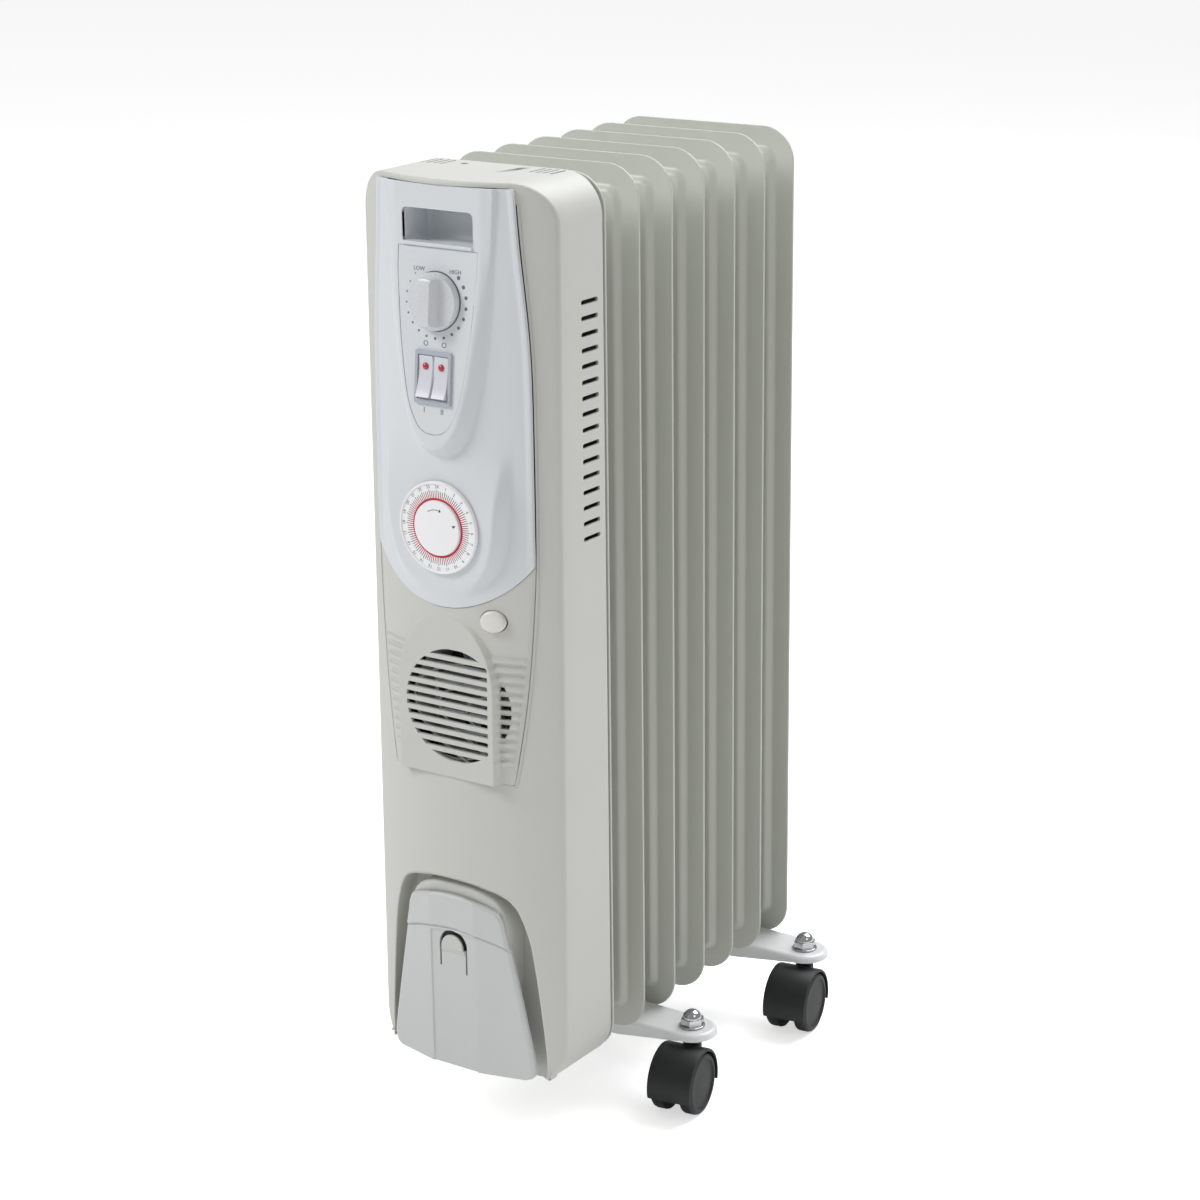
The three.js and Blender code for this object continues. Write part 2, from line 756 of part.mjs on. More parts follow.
function timerBody() {
  const drum = rodY(timerBodyR, 0, timerBodyFront, timerBodyFront + timerBodyDepth, timerHeight, 24);
  const ears = block(
    -timerBodyR - 6,
    timerBodyR + 6,
    timerBodyFront + timerBodyDepth - 3,
    timerBodyFront + timerBodyDepth,
    timerHeight - 5,
    timerHeight + 5,
  );
  return join(drum, ears);
}

add(assembly, "timer_dial", timerDial(), whitePlastic);
add(assembly, "timer_centre", timerCentre(), whitePlastic);
add(assembly, "timer_body", timerBody(), darkPlastic);

// ---- Push button ----------------------------------------------------------------------------
// Drawn about the origin with the panel's surface at Y = 0 and the button's travel along +Y.
const buttonTurn = Math.asin(buttonAcross / bowR);
const buttonStemEnd = 7;

function atButton(geometry) {
  geometry.rotateZ(buttonTurn);
  const surface = frontAt(buttonAcross, buttonHeight) - fanPanelProud;
  return geometry.translate(buttonAcross, surface, buttonHeight);
}

function turboButton() {
  const profile = polyline(
    [0, -buttonStemEnd],
    [buttonR, -buttonStemEnd],
    [buttonR, buttonProud - 1.4],
    [buttonR * 0.8, buttonProud - 0.4],
    [0, buttonProud],
  );
  return atButton(new THREE.LatheGeometry(profile, 20).rotateX(Math.PI));
}

function turboSwitch() {
  const front = buttonStemEnd + buttonTravel + running;
  return atButton(block(-7, 7, front, front + 12, -5, 5));
}

add(assembly, "turbo_button", turboButton(), creamPlastic);
add(assembly, "turbo_switch", turboSwitch(), darkPlastic);

// ---- Fan outlet -----------------------------------------------------------------------------
function fanSlots() {
  const slots = [];
  for (let i = 0; i <= fanSlatCount; i += 1) {
    const z = fanHeight + (i - fanSlatCount / 2) * fanSlatPitch;
    const gap = fanSlatPitch - fanSlatThickness;
    const reach = Math.abs(z - fanHeight) + gap / 2;
    const half = Math.sqrt(fanOpeningR ** 2 - Math.min(reach, fanOpeningR - 1) ** 2);
    slots.push(block(fanAcross - half, fanAcross + half, -frontDepth - 30, -30, z - gap / 2, z + gap / 2));
  }
  return slots;
}

function fanPanel() {
  const skin = casingForm(-fanPanelProud, 0, casingRear - 20);
  const raisedForm = casingForm(-fanPanelProud - fanRaisedProud, 0, casingRear - 20);
  const raisedShape = roundedRectangle(-fanRaisedHalf, fanRaisedHalf, fanPanelBottom + 2, fanRaisedTop, 34);
  const lowerShape = roundedRectangle(-fanRaisedHalf, fanRaisedHalf, fanPanelBottom + 2, fanHeight, 2);
  const far = -frontDepth - 40;
  const arch = common(raisedForm, join(panel(raisedShape, far, -40), panel(lowerShape, far, -40)));
  const outline = cut(
    panel(fanPanelOutline(running), far, casingRear - 38),
    panel(shieldOutline(-running), far - 1, -20),
  );
  const inside = casingForm(fanPanelWall - fanPanelProud, fanPanelWall, casingRear + 8);
  const plate = cut(common(join(skin, arch), outline), inside);
  return cut(plate, ...fanSlots(), atButton(rodY(buttonR + running, 0, -20, 20, 0, 20)));
}

function fanGuard() {
  const y1 = fanDuctFront - seat;
  const y0 = y1 - 1.4;
  const r = fanDuctR - 1;
  const ring = cut(rodY(r, 0, y0, y1, fanHeight, 28), rodY(r - 2, 0, y0 - 1, y1 + 1, fanHeight, 28));
  const hub = rodY(5, 0, y0, y1, fanHeight, 12);
  const arms = [];
  const armCount = 7;
  for (let i = 0; i < armCount; i += 1) {
    const arm = new THREE.Shape();
    arm.moveTo(3, -0.5);
    arm.quadraticCurveTo(r * 0.6, -0.5, r - 1, r * 0.34);
    arm.lineTo(r - 1.4, r * 0.34 + 1);
    arm.quadraticCurveTo(r * 0.58, 0.6, 3, 0.6);
    const blade = panel(arm, y0, y1, 3);
    arms.push(blade.rotateY((i / armCount) * 2 * Math.PI).translate(0, 0, fanHeight));
  }
  return join(ring, hub, ...arms);
}

function fanDuct() {
  const y1 = fanDuctFront + fanDuctDepth;
  const outer = rodY(fanDuctR + fanDuctWall, 0, fanDuctFront, y1, fanHeight, 28);
  return cut(outer, rodY(fanDuctR, 0, fanDuctFront - 1, y1 + 1, fanHeight, 28));
}

function fanHeater() {
  const y0 = fanDuctFront + 2;
  const y1 = y0 + 6;
  const half = 22;
  const frame = cut(
    block(-half - 3, half + 3, y0, y1, fanHeight - half, fanHeight + half),
    block(-half, half, y0 - 1, y1 + 1, fanHeight - half + 3, fanHeight + half - 3),
  );
  const bars = [];
  for (let i = -1; i <= 1; i += 1) {
    bars.push(block(-half - 1, half + 1, y0, y1, fanHeight + i * 10 - 1.5, fanHeight + i * 10 + 1.5));
  }
  return join(frame, ...bars);
}

const impellerFront = fanDuctFront + 12;
const impellerDepth = 12;
const shaftR = 2;

function fanImpeller() {
  const y1 = impellerFront + impellerDepth;
  const hub = rodY(fanHubR, 0, impellerFront, y1, fanHeight, 16);
  const shaft = rodY(shaftR, 0, impellerFront + 2, y1 + 10, fanHeight, 10);
  const blades = [];
  const length = fanDuctR - 2.5;
  for (let i = 0; i < fanBladeCount; i += 1) {
    const blade = block(fanHubR - 2, length, -0.8, 0.8, -6.5, 6.5);
    blade.rotateX(THREE.MathUtils.degToRad(35));
    blade.translate(0, impellerFront + impellerDepth / 2, 0);
    blade.rotateY((i / fanBladeCount) * 2 * Math.PI);
    blades.push(blade.translate(0, 0, fanHeight));
  }
  return join(hub, shaft, ...blades);
}

function fanMotor() {
  const y0 = impellerFront + impellerDepth + 1.2;
  const y1 = fanDuctFront + fanDuctDepth + seat;
  const can = rodY(14, 0, y0, y1 + 18, fanHeight, 20);
  const bridge = block(-fanDuctR - 4, fanDuctR + 4, y1, y1 + 2, fanHeight - 5, fanHeight + 5);
  const bore = rodY(shaftR + running, 0, y0 - 1, impellerFront + impellerDepth + 12, fanHeight, 10);
  return cut(join(can, bridge), bore);
}

add(assembly, "fan_panel", fanPanel(), casingPlastic);
const fanGroup = new THREE.Group();
fanGroup.position.x = fanAcross;
assembly.add(fanGroup);
add(fanGroup, "fan_guard", fanGuard(), casingPlastic);
add(fanGroup, "fan_duct", fanDuct(), darkPlastic);
add(fanGroup, "fan_heater", fanHeater(), zincSteel);
add(fanGroup, "fan_impeller", fanImpeller(), darkPlastic);
add(fanGroup, "fan_motor", fanMotor(), zincSteel);

// ---- Cord store -----------------------------------------------------------------------------
const coverBack = coverFace + coverThickness;

function neckOutline() {
  const side = spline(
    8,
    [neckHalf - 6, neckBottom],
    [neckHalf - 1, 70],
    [neckHalf, 104],
    [neckHalf - 8, neckTop - 8],
    [neckHalf * 0.4, neckTop - 1],
    [0, neckTop],
  );
  return mirrored([...polyline([0, neckBottom]), ...side]);
}

function coverOutline() {
  const side = spline(
    14,
    [coverBottomHalf - 4, coverBottom],
    [coverBottomHalf, coverBottom + 8],
    [coverBottomHalf - 8, 55],
    [coverTopHalf + 2, 98],
    [coverTopHalf - 2, 112],
    [coverTopHalf * 0.5, coverTop - 2],
    [0, coverTop],
  );
  return mirrored([...polyline([0, coverBottom]), ...side]);
}

// The cover's plan: flat in the middle, falling back to its side edges.
function coverPlan(shift) {
  const half = coverBottomHalf + 3;
  const setBack = (coverSetBack * (half - coverFlatHalf)) / (coverBottomHalf - coverFlatHalf);
  const rear = coverBack + shift + 40;
  return new THREE.Shape(
    polyline(
      [-half, rear],
      [-half, coverFace + setBack + shift],
      [-coverFlatHalf, coverFace + shift],
      [coverFlatHalf, coverFace + shift],
      [half, coverFace + setBack + shift],
      [half, rear],
    ),
  );
}

function cordNeck() {
  const far = -frontDepth - 30;
  const behindCover = column(coverPlan(coverThickness + seat), neckBottom - 5, neckTop + 5);
  const solid = common(panel(neckOutline(), far, archDepthY - seat), behindCover);
  const hollow = panel(insetNeck(), archDepthY - 18, archDepthY + 5);
  return cut(solid, hollow);
}

function insetNeck() {
  return roundedRectangle(-neckHalf + 12, neckHalf - 12, neckBottom + 6, neckTop - 14, 6);
}

function cordCover() {
  const far = -frontDepth - 30;
  const plate = cut(
    column(coverPlan(0), coverBottom - 5, coverTop + 5),
    column(coverPlan(coverThickness), coverBottom - 6, coverTop + 6),
  );
  const solid = common(panel(coverOutline(), far, -20), plate);
  const slots = [-1, 1].map((side) => {
    const x = side * clipHalf;
    return block(x - 0.6, x + 0.6, far, -50, clipTop - 8 - clipSlotLength, clipTop - 6);
  });
  const notch = block(-clipHalf - 0.6, clipHalf + 0.6, far, -50, clipTop - 7, clipTop - 3);
  return cut(solid, notch, ...slots);
}

function cordBush() {
  const { x, z, r } = bushPlace;
  const tube = rodY(r - running, x, archDepthY - 3, archDepthY + archWall + 6, z, 14);
  const collar = rodY(r + 2, x, archDepthY - 3, archDepthY - seat, z, 14);
  const bore = rodY(bushBoreR, x, archDepthY - 10, archDepthY + archWall + 10, z, 12);
  return cut(join(tube, collar), bore);
}

add(assembly, "cord_neck", cordNeck(), casingPlastic);
add(assembly, "cord_cover", cordCover(), casingPlastic);
add(assembly, "cord_bush", cordBush(), blackNylon);

// ---- Inside the casing ----------------------------------------------------------------------
const plateFront = -finPressDepth - 4 * seat - backPlateThickness - seat;

function thermalCutout() {
  const across = 30;
  const height = timerHeight - 38;
  const can = rodY(8, across, plateFront - 8, plateFront, height, 16);
  const tabs = block(across - 4, across + 4, plateFront - 15, plateFront - 6, height - 4, height - 2.5);
  return join(can, tabs);
}

function terminalBlock() {
  const across = -30;
  const height = archTop + 32;
  const depth = 16;
  const wellPitch = 10;
  const base = block(across - 16, across + 16, plateFront - depth, plateFront, height - 8, height + 8);
  const wells = [-1, 0, 1].map((i) => {
    return rodY(2.6, across + i * wellPitch, plateFront - depth - 4, plateFront - depth / 2, height, 10);
  });
  return cut(base, ...wells);
}

add(assembly, "thermal_cutout", thermalCutout(), zincSteel);
add(assembly, "terminal_block", terminalBlock(), whitePlastic);

// ---- Feet -----------------------------------------------------------------------------------
// Drawn about the middle of the gap between two fins, with heights from the fins' bottom edge.
const footHalfWidth = (finPitch - finRimThickness) / 2 - 0.6;
const footTipR = footHalfWidth - 0.85;
const footUnder = footTop - footThickness;
const boltHalf = headerR + boltR + running;
const boltEnd = footUnder - footFlangeDepth - 5;

function footOutline() {
  const shape = new THREE.Shape();
  shape.moveTo(-footFlangeFull, -footHalfWidth);
  shape.lineTo(footFlangeFull, -footHalfWidth);
  shape.lineTo(footPivot, -footTipR);
  shape.absarc(footPivot, 0, footTipR, -Math.PI / 2, Math.PI / 2, false);
  shape.lineTo(footFlangeFull, footHalfWidth);
  shape.lineTo(-footFlangeFull, footHalfWidth);
  shape.lineTo(-footPivot, footTipR);
  shape.absarc(-footPivot, 0, footTipR, Math.PI / 2, 1.5 * Math.PI, false);
  return shape;
}

function footBar() {
  const plate = column(footOutline(), footUnder, footTop, 4);
  const side = new THREE.Shape(
    polyline(
      [-footFlangeEnd, footTop - 0.5],
      [-footFlangeFull, footUnder - footFlangeDepth],
      [footFlangeFull, footUnder - footFlangeDepth],
      [footFlangeEnd, footTop - 0.5],
    ),
  );
  const skirt = column(footOutline(), footUnder - footFlangeDepth - 1, footTop, 4);
  const core = footHalfWidth - 2;
  const inner = block(-footPivot, footPivot, -core, core, footUnder - footFlangeDepth - 3, footTop + 3);
  const flanges = common(cut(skirt, inner), panel(side, -footHalfWidth - 2, footHalfWidth + 2));
  const holes = [-1, 1].flatMap((s) => [
    rodZ(stemR + running, s * footPivot, 0, footUnder - 3, footTop + 3, 12),
    rodZ(boltR + running, s * boltHalf, 0, footUnder - 3, footTop + 3, 12),
  ]);
  return cut(join(plate, flanges), ...holes);
}

function uBolt() {
  const arch = [];
  for (let i = 0; i <= 8; i += 1) {
    const angle = (i / 8) * Math.PI;
    arch.push(new THREE.Vector3(boltHalf * Math.cos(angle), 0, headerLow + boltHalf * Math.sin(angle)));
  }
  const section = new THREE.Shape().absarc(0, 0, boltR, 0, 2 * Math.PI, false);
  const curve = new THREE.CatmullRomCurve3(arch);
  const bow = new THREE.ExtrudeGeometry(section, { extrudePath: curve, steps: 8, curveSegments: 4 });
  const legs = [-1, 1].map((side) => rodZ(boltR, side * boltHalf, 0, boltEnd, headerLow + 1, 8));
  return join(bow, ...legs);
}

function wingNut() {
  const top = footUnder - seat;
  const body = rodZ(6, 0, 0, top - 6, top, 12);
  const wings = block(-13, 13, -1.2, 1.2, top - 10, top - 2);
  const bore = rodZ(boltR + running, 0, 0, top - 20, top + 3, 10);
  return cut(join(body, wings), bore);
}

// ---- Casters --------------------------------------------------------------------------------
// Drawn about the pivot line, with heights from the fins' bottom edge and the axle along X.
const hoodR = wheelR + hoodGap + hoodWall;
const hoodTop = wheelAxleZ + hoodR;
const stemEnd = hoodTop - 15;
const stemTop = footTop + 8;

function casterStem() {
  const pin = rodZ(stemR, 0, 0, stemEnd, stemTop, 10);
  const collar = rodZ(stemCollarR, 0, 0, hoodTop + seat, footUnder - seat, 12);
  return join(pin, collar);
}

function domeNut() {
  const base = footTop + seat;
  const hex = rodZ(nutAcross, 0, 0, base, base + 5, 6);
  const washer = rodZ(nutAcross + 0.8, 0, 0, base, base + 1.2, 12);
  const dome = new THREE.SphereGeometry(nutDomeR, 10, 6).translate(0, 0, base + 5.4);
  const bore = rodZ(stemR + running, 0, 0, base - 2, stemTop + seat, 8);
  return cut(join(hex, washer, dome), bore);
}

// A guard over both wheels, open below, with a web between them that carries the axle.
function casterHood() {
  const half = wheelOuter + 0.4;
  const inner = wheelR + hoodGap;
  const ring = cut(
    rodX(hoodR, -half, half, -wheelTrail, wheelAxleZ, 24),
    rodX(inner, -half - 1, half + 1, -wheelTrail, wheelAxleZ, 24),
  );
  const far = 4 * wheelR;
  const below = new THREE.Shape(polyline([0, 0], [-far, -0.28 * far], [-far, -far], [far, -far], [far, -0.08 * far]));
  const wedge = new THREE.ExtrudeGeometry(below, { depth: far, bevelEnabled: false });
  wedge.applyMatrix4(new THREE.Matrix4().makeBasis(axisY, axisZ, axisX));
  wedge.translate(-far / 2, -wheelTrail, wheelAxleZ);
  const webHalf = 3.2;
  const web = rodX(inner + 0.5, -webHalf, webHalf, -wheelTrail, wheelAxleZ, 24);
  const webCut = wedge.clone().translate(0, 0, -5);
  const socket = rodZ(stemR + 2.2, 0, 0, stemEnd - 2, hoodTop, 14);
  const axleHole = rodX(axleR + running, -10, 10, -wheelTrail, wheelAxleZ, 10);
  const stemHole = rodZ(stemR + running, 0, 0, stemEnd - seat, hoodTop + 5, 12);
  const guard = cut(ring, wedge);
  return cut(join(guard, cut(web, webCut), socket), axleHole, stemHole);
}

function wheelPair() {
  const profile = polyline(
    [0, wheelInner],
    [wheelR, wheelInner],
    [wheelR, wheelOuter - 2],
    [wheelR - 2, wheelOuter],
    [0, wheelOuter],
  );
  const wheel = new THREE.LatheGeometry(profile, 24).rotateZ(-Math.PI / 2);
  const other = wheel.clone().rotateY(Math.PI);
  const axle = rodX(axleR, -wheelInner - 1, wheelInner + 1, 0, 0, 10);
  return join(wheel, other, axle).translate(0, -wheelTrail, wheelAxleZ);
}

function caster(parent, place, side) {
  const group = new THREE.Group();
  group.position.x = side * footPivot;
  parent.add(group);
  add(group, `caster_stem_${place}`, casterStem(), zincSteel);
  add(group, `dome_nut_${place}`, domeNut(), chrome);
  const turned = new THREE.Group();
  turned.rotation.z = THREE.MathUtils.degToRad(side * casterToe);
  group.add(turned);
  add(turned, `caster_hood_${place}`, casterHood(), blackNylon);
  add(turned, `caster_wheels_${place}`, wheelPair(), blackNylon);
}

for (const [place, gap] of [["front", 1], ["rear", lastFin - 1]]) {
  const foot = new THREE.Group();
  foot.position.y = gapY(gap);
  assembly.add(foot);
  add(foot, `foot_bar_${place}`, footBar(), whitePaint);
  add(foot, `u_bolt_${place}`, uBolt(), zincSteel);
  for (const side of [-1, 1]) {
    const hand = side < 0 ? "left" : "right";
    add(foot, `wing_nut_${place}_${hand}`, wingNut(), zincSteel).position.x = side * boltHalf;
    caster(foot, `${place}_${hand}`, side);
  }
}

// ---- On the floor, with the origin under the middle of the whole ------------------------------
assembly.updateMatrixWorld(true);
const extent = new THREE.Box3().setFromObject(assembly, true);
const middle = extent.getCenter(new THREE.Vector3());
assembly.position.set(-middle.x, -middle.y, -extent.min.z);

const heater = new THREE.Group();
heater.add(assembly);

export default heater;
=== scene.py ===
"""Oil filled radiator heater, the finished surface of every visible piece round the fixed frame.

Lengths are millimetres, written from the first fin: X across, -Y towards the controls, heights
from the bottom edge of the fins. Each piece is moved into the frame's metres when it is made.
"""
import math

import bmesh
import bpy
import numpy as np
from mathutils import Matrix, Vector


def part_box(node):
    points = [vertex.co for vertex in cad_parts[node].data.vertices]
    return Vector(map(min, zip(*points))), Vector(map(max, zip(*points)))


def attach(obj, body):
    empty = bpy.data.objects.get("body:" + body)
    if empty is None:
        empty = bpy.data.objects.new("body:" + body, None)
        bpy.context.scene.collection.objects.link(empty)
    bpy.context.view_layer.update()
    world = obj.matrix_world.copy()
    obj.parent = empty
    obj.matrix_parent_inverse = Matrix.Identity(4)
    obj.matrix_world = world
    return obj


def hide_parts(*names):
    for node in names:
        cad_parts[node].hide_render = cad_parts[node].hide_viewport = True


bl_info = {
    "name": "Oil Filled Radiator Heater",
    "version": (1, 0, 0),
    "blender": (4, 5, 0),
    "location": "View3D > Sidebar > Heater",
    "description": "Builds the finished surfaces of a finned radiator heater",
    "category": "Object",
}

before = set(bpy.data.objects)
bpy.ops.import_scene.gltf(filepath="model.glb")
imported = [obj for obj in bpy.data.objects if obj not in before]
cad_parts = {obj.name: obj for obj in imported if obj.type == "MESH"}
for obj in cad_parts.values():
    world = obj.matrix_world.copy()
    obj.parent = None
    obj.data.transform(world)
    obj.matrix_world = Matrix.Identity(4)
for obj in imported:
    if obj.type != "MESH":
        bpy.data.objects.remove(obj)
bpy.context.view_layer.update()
MM = 0.001


def box_mm(node):
    """A node's lowest and highest corners, in millimetres."""
    low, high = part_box(node)
    return low / MM, high / MM


def middle(node):
    low, high = box_mm(node)
    return (low + high) / 2


# ---- Sizes read from the frame -----------------------------------------------------------------
FIN_PITCH = middle("fin_3").y - middle("fin_2").y
FIRST_FIN = Vector((0, middle("fin_2").y - FIN_PITCH, box_mm("fin_2")[0].z))
FIN_HALF = box_mm("fin_2")[1].x
FIN_HEIGHT = box_mm("fin_2")[1].z - FIRST_FIN.z
FIN_COUNT = sum(name.startswith("fin_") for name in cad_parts)
HALF = box_mm("casing")[1].x
TOP = box_mm("casing")[1].z - FIRST_FIN.z
BOTTOM = box_mm("casing")[0].z - FIRST_FIN.z
REAR = box_mm("casing")[1].y - FIRST_FIN.y
TO_FRAME = Matrix.Translation(FIRST_FIN * MM) @ Matrix.Scale(MM, 4)

# ---- Sizes of the pressings and mouldings ------------------------------------------------------
CORNER_R = 26
FRONT_DEPTH = 74.6
FRONT_LEAN = 0.009
BOW = 24
BOW_R = (HALF**2 + BOW**2) / (2 * BOW)
SHIELD_TOP = TOP - 3.6
SHIELD_HIP = 347
SHIELD_HIP_HALF = 59
SHIELD_SAG = 30
SAG_R = (SHIELD_HIP_HALF**2 + SHIELD_SAG**2) / (2 * SHIELD_SAG)
PANEL_BOTTOM = 205.5
SEAM = 0.5
TONGUE_FACE = -73.6
TONGUE_KNEE = 541
TONGUE_LEAN = 0.093
LEAN_ANGLE = math.atan(TONGUE_LEAN)
PAD_FACE = -79
HEADERS = (45, FIN_HEIGHT - 45)
SPLIT = 172  # height where the casing's two patches of mesh meet


def linear(hex_colour):
    """An sRGB hex colour as linear red, green and blue."""
    parts = [int(hex_colour[i : i + 2], 16) / 255 for i in (1, 3, 5)]
    return tuple(c / 12.92 if c <= 0.04045 else ((c + 0.055) / 1.055) ** 2.4 for c in parts)


# ---- What a user may change --------------------------------------------------------------------
def colour_prop(name, description, hex_colour):
    return bpy.props.FloatVectorProperty(
        name=name, description=description, subtype="COLOR", size=3, min=0, max=1, default=linear(hex_colour)
    )


def length_prop(name, description, default):
    return bpy.props.FloatProperty(name=name, description=description, default=default, min=0)


class HeaterSizes(bpy.types.PropertyGroup):
    """Small sizes of the finish, in millimetres."""

    fin_slope: length_prop("Fin slope", "Width of the sloping side of a pressed oil channel, mm", 5.5)
    crease: length_prop("Crease", "Rounding along the casing's front edge, mm", 2.5)
    arch_lip: length_prop("Arch lip", "Rounding at the mouth of the cord recess, mm", 1.6)
    rib_height: length_prop("Rib height", "Height of the ribs beside the fan outlet, mm", 1.5)
    dot_small: length_prop("Small dot", "Radius of the first dot round the knob, mm", 0.45)
    dot_large: length_prop("Large dot", "Radius of the last dot round the knob, mm", 1.25)


class HeaterColours(bpy.types.PropertyGroup):
    """The colours of the finishes."""

    enamel: colour_prop("Fin enamel", "Light grey stoved enamel", "#C8CAC2")
    casing: colour_prop("Casing", "Warm light grey plastic", "#CBCBC6")
    shield: colour_prop("Shield", "Cool white plastic", "#D9DDE1")
    button: colour_prop("Button", "Cream white plastic", "#E3E1DA")
    dial: colour_prop("Dial", "White plastic of the timer", "#F4F4F6")
    # The grey ink colour also paints the shadow ring round the knob.
    ink: colour_prop("Ink", "Grey printing", "#6B7178")
    red_ink: colour_prop("Red ink", "Red printing on the timer", "#C02A40")
    lens: colour_prop("Lens", "Red lamp lens", "#B8383C")
    nylon: colour_prop("Nylon", "Black nylon of the casters", "#1A1B1D")
    # Behind the clip this dark colour is painted shade, seen through the gaps round the tab.
    dark: colour_prop("Dark plastic", "Dark parts inside the casing and behind the clip", "#3F464C")
    white_enamel: colour_prop("Foot enamel", "White enamel on the feet", "#E6E7E8")
    floor: colour_prop("Floor", "Pale studio floor", "#F2F2F2")


# ---- Materials ---------------------------------------------------------------------------------
CLOUD_MM = 90  # size of the faint uneven patches of tone
def add_node(tree, kind, inputs=(), **settings):
    """Adds a shader node with its settings, its values and its links."""
    node = tree.nodes.new(kind)
    for key, value in settings.items():
        setattr(node, key, value)
    for key, value in dict(inputs).items():
        if isinstance(value, bpy.types.NodeSocket):
            tree.links.new(value, node.inputs[key])
        else:
            node.inputs[key].default_value = value
    return node


def start_material(name):
    material = bpy.data.materials.new(name)
    material.use_nodes = True
    material.node_tree.nodes.clear()
    return material, material.node_tree


def moulded(name, colour, roughness, grain_mm, grain_depth_mm, mottle=0.03, coat=0.0, metallic=0.0):
    """A smooth surface with a fine grain in relief and a faint uneven tone, on object coordinates."""
    material, tree = start_material(name)
    place = add_node(tree, "ShaderNodeTexCoord").outputs["Object"]
    cloud = add_node(
        tree,
        "ShaderNodeTexNoise",
        {"Vector": place, "Scale": 1 / (CLOUD_MM * MM), "Detail": 3.0, "Roughness": 0.5},
    )
    tone = add_node(
        tree, "ShaderNodeMapRange", {"Value": cloud.outputs[0], "To Min": 1 - mottle, "To Max": 1 + mottle}
    )
    rgb = add_node(
        tree, "ShaderNodeVectorMath", {0: tuple(colour), 1: tone.outputs[0]}, operation="MULTIPLY"
    )
    grain = add_node(
        tree, "ShaderNodeTexNoise", {"Vector": place, "Scale": 1 / (grain_mm * MM), "Detail": 2.0}
    )
    gloss = add_node(
        tree,
        "ShaderNodeMapRange",
        {"Value": grain.outputs[0], "To Min": roughness - 0.05, "To Max": roughness + 0.05},
    )
    relief = add_node(
        tree,
        "ShaderNodeBump",
        {"Height": grain.outputs[0], "Strength": 0.5, "Distance": grain_depth_mm * MM},
    )
    shader = add_node(
        tree,
        "ShaderNodeBsdfPrincipled",
        {
            "Base Color": rgb.outputs[0],
            "Roughness": gloss.outputs[0],
            "Normal": relief.outputs[0],
            "Metallic": metallic,
            "Coat Weight": coat,
            "Coat Roughness": 0.2,
        },
    )
    if not metallic:
        shader.inputs["IOR"].default_value = 1.5
    add_node(tree, "ShaderNodeOutputMaterial", {"Surface": shader.outputs[0]})
    return material


def make_materials():
    colours = bpy.context.scene.heater_colours
    return {
        # Stoved enamel on pressed steel: half gloss, with the faint ripple of a sprayed coat.
        "enamel": moulded("stoved_enamel", colours.enamel, 0.4, 5.0, 0.05, 0.02, 0.15),
        # ABS from a spark eroded mould: satin, with a grain drawn coarser than the real 0.2 mm.
        "casing": moulded("satin_abs_casing", colours.casing, 0.48, 0.7, 0.03, 0.02),
        # The cord cover is a cooler grey than the casing round it.
        "cover": moulded("satin_abs_cover", linear("#CBCDCD"), 0.45, 0.7, 0.02, 0.02),
        # The shield is paler and a little smoother, so its curves catch more light.
        "shield": moulded("satin_abs_shield", colours.shield, 0.42, 0.7, 0.02, 0.015),
        # Polished ABS: a soft, clear highlight.
        "knob": moulded("polished_abs_knob", linear("#D3D6DA"), 0.28, 0.9, 0.01, 0.015, 0.2),
        # Cream plastic of the push button, warmer than all that is round it.
        "button": moulded("polished_abs_button", colours.button, 0.3, 0.9, 0.01, 0.01, 0.2),
        # White polystyrene: the brightest piece, with a thin gloss.
        "dial": moulded("polystyrene_dial", colours.dial, 0.35, 0.9, 0.01, 0.01, 0.1),
        # Pad printed ink: flat and slightly uneven. The grey ink also paints the shadow ring round the knob.
        "ink": moulded("pad_printed_ink_and_painted_shadow", colours.ink, 0.6, 0.4, 0.005, 0.1),
        "red_ink": moulded("red_printed_ink", colours.red_ink, 0.6, 0.4, 0.005, 0.08),
        "black_ink": moulded("black_printed_ink", linear("#2C2E33"), 0.6, 0.4, 0.005),
        # Cream paint on the knob: flat, a little darker than the plastic.
        "mark": moulded("cream_paint_mark", linear("#C9C3B2"), 0.5, 0.4, 0.005),
        # Red acrylic: deep colour under a sharp highlight.
        "lens": moulded("red_acrylic_lens", colours.lens, 0.15, 0.6, 0.02, 0.15, 0.5),
        # Glass filled nylon: near black, with a dull sheen and a visible grain.
        "nylon": moulded("black_nylon", colours.nylon, 0.5, 0.8, 0.08, 0.12),
        # Charcoal plastic for the parts deep inside; it also keeps gaps and cavities dark as painted shade,
        # as on the plate behind the clip.
        "dark": moulded("dark_abs_and_painted_shade", colours.dark, 0.5, 0.8, 0.05, 0.1),
        # Grey plastic inside the outlet, pale enough to show in its shade.
        "inner": moulded("grey_inner_abs", linear("#C9D0D4"), 0.5, 0.8, 0.05, 0.1),
        # Light grey plastic, darker than the shield, so it outlines the switches.
        "bezel": moulded("grey_switch_bezel", linear("#B2B8C1"), 0.4, 0.8, 0.01, 0.02),
        # Polished ABS with a cool cast: a soft highlight down each hollow rocker.
        "rocker": moulded("polished_abs_rocker", linear("#D9DAE2"), 0.3, 0.8, 0.01, 0.01, 0.2),
        # White stoved enamel: glossier than the fins.
        "white_enamel": moulded("white_enamel", colours.white_enamel, 0.3, 5.0, 0.04, 0.01, 0.3),
        # Bright nickel plate: a mirror with a little haze.
        "nickel": moulded("nickel_plate", linear("#C6C8CA"), 0.16, 1.5, 0.01, 0.05, 0, 1.0),
        # Zinc plate: dull silver with soft crystal patches.
        "zinc": moulded("zinc_plate", linear("#AEB2B6"), 0.42, 2.5, 0.03, 0.12, 0, 1.0),
    }


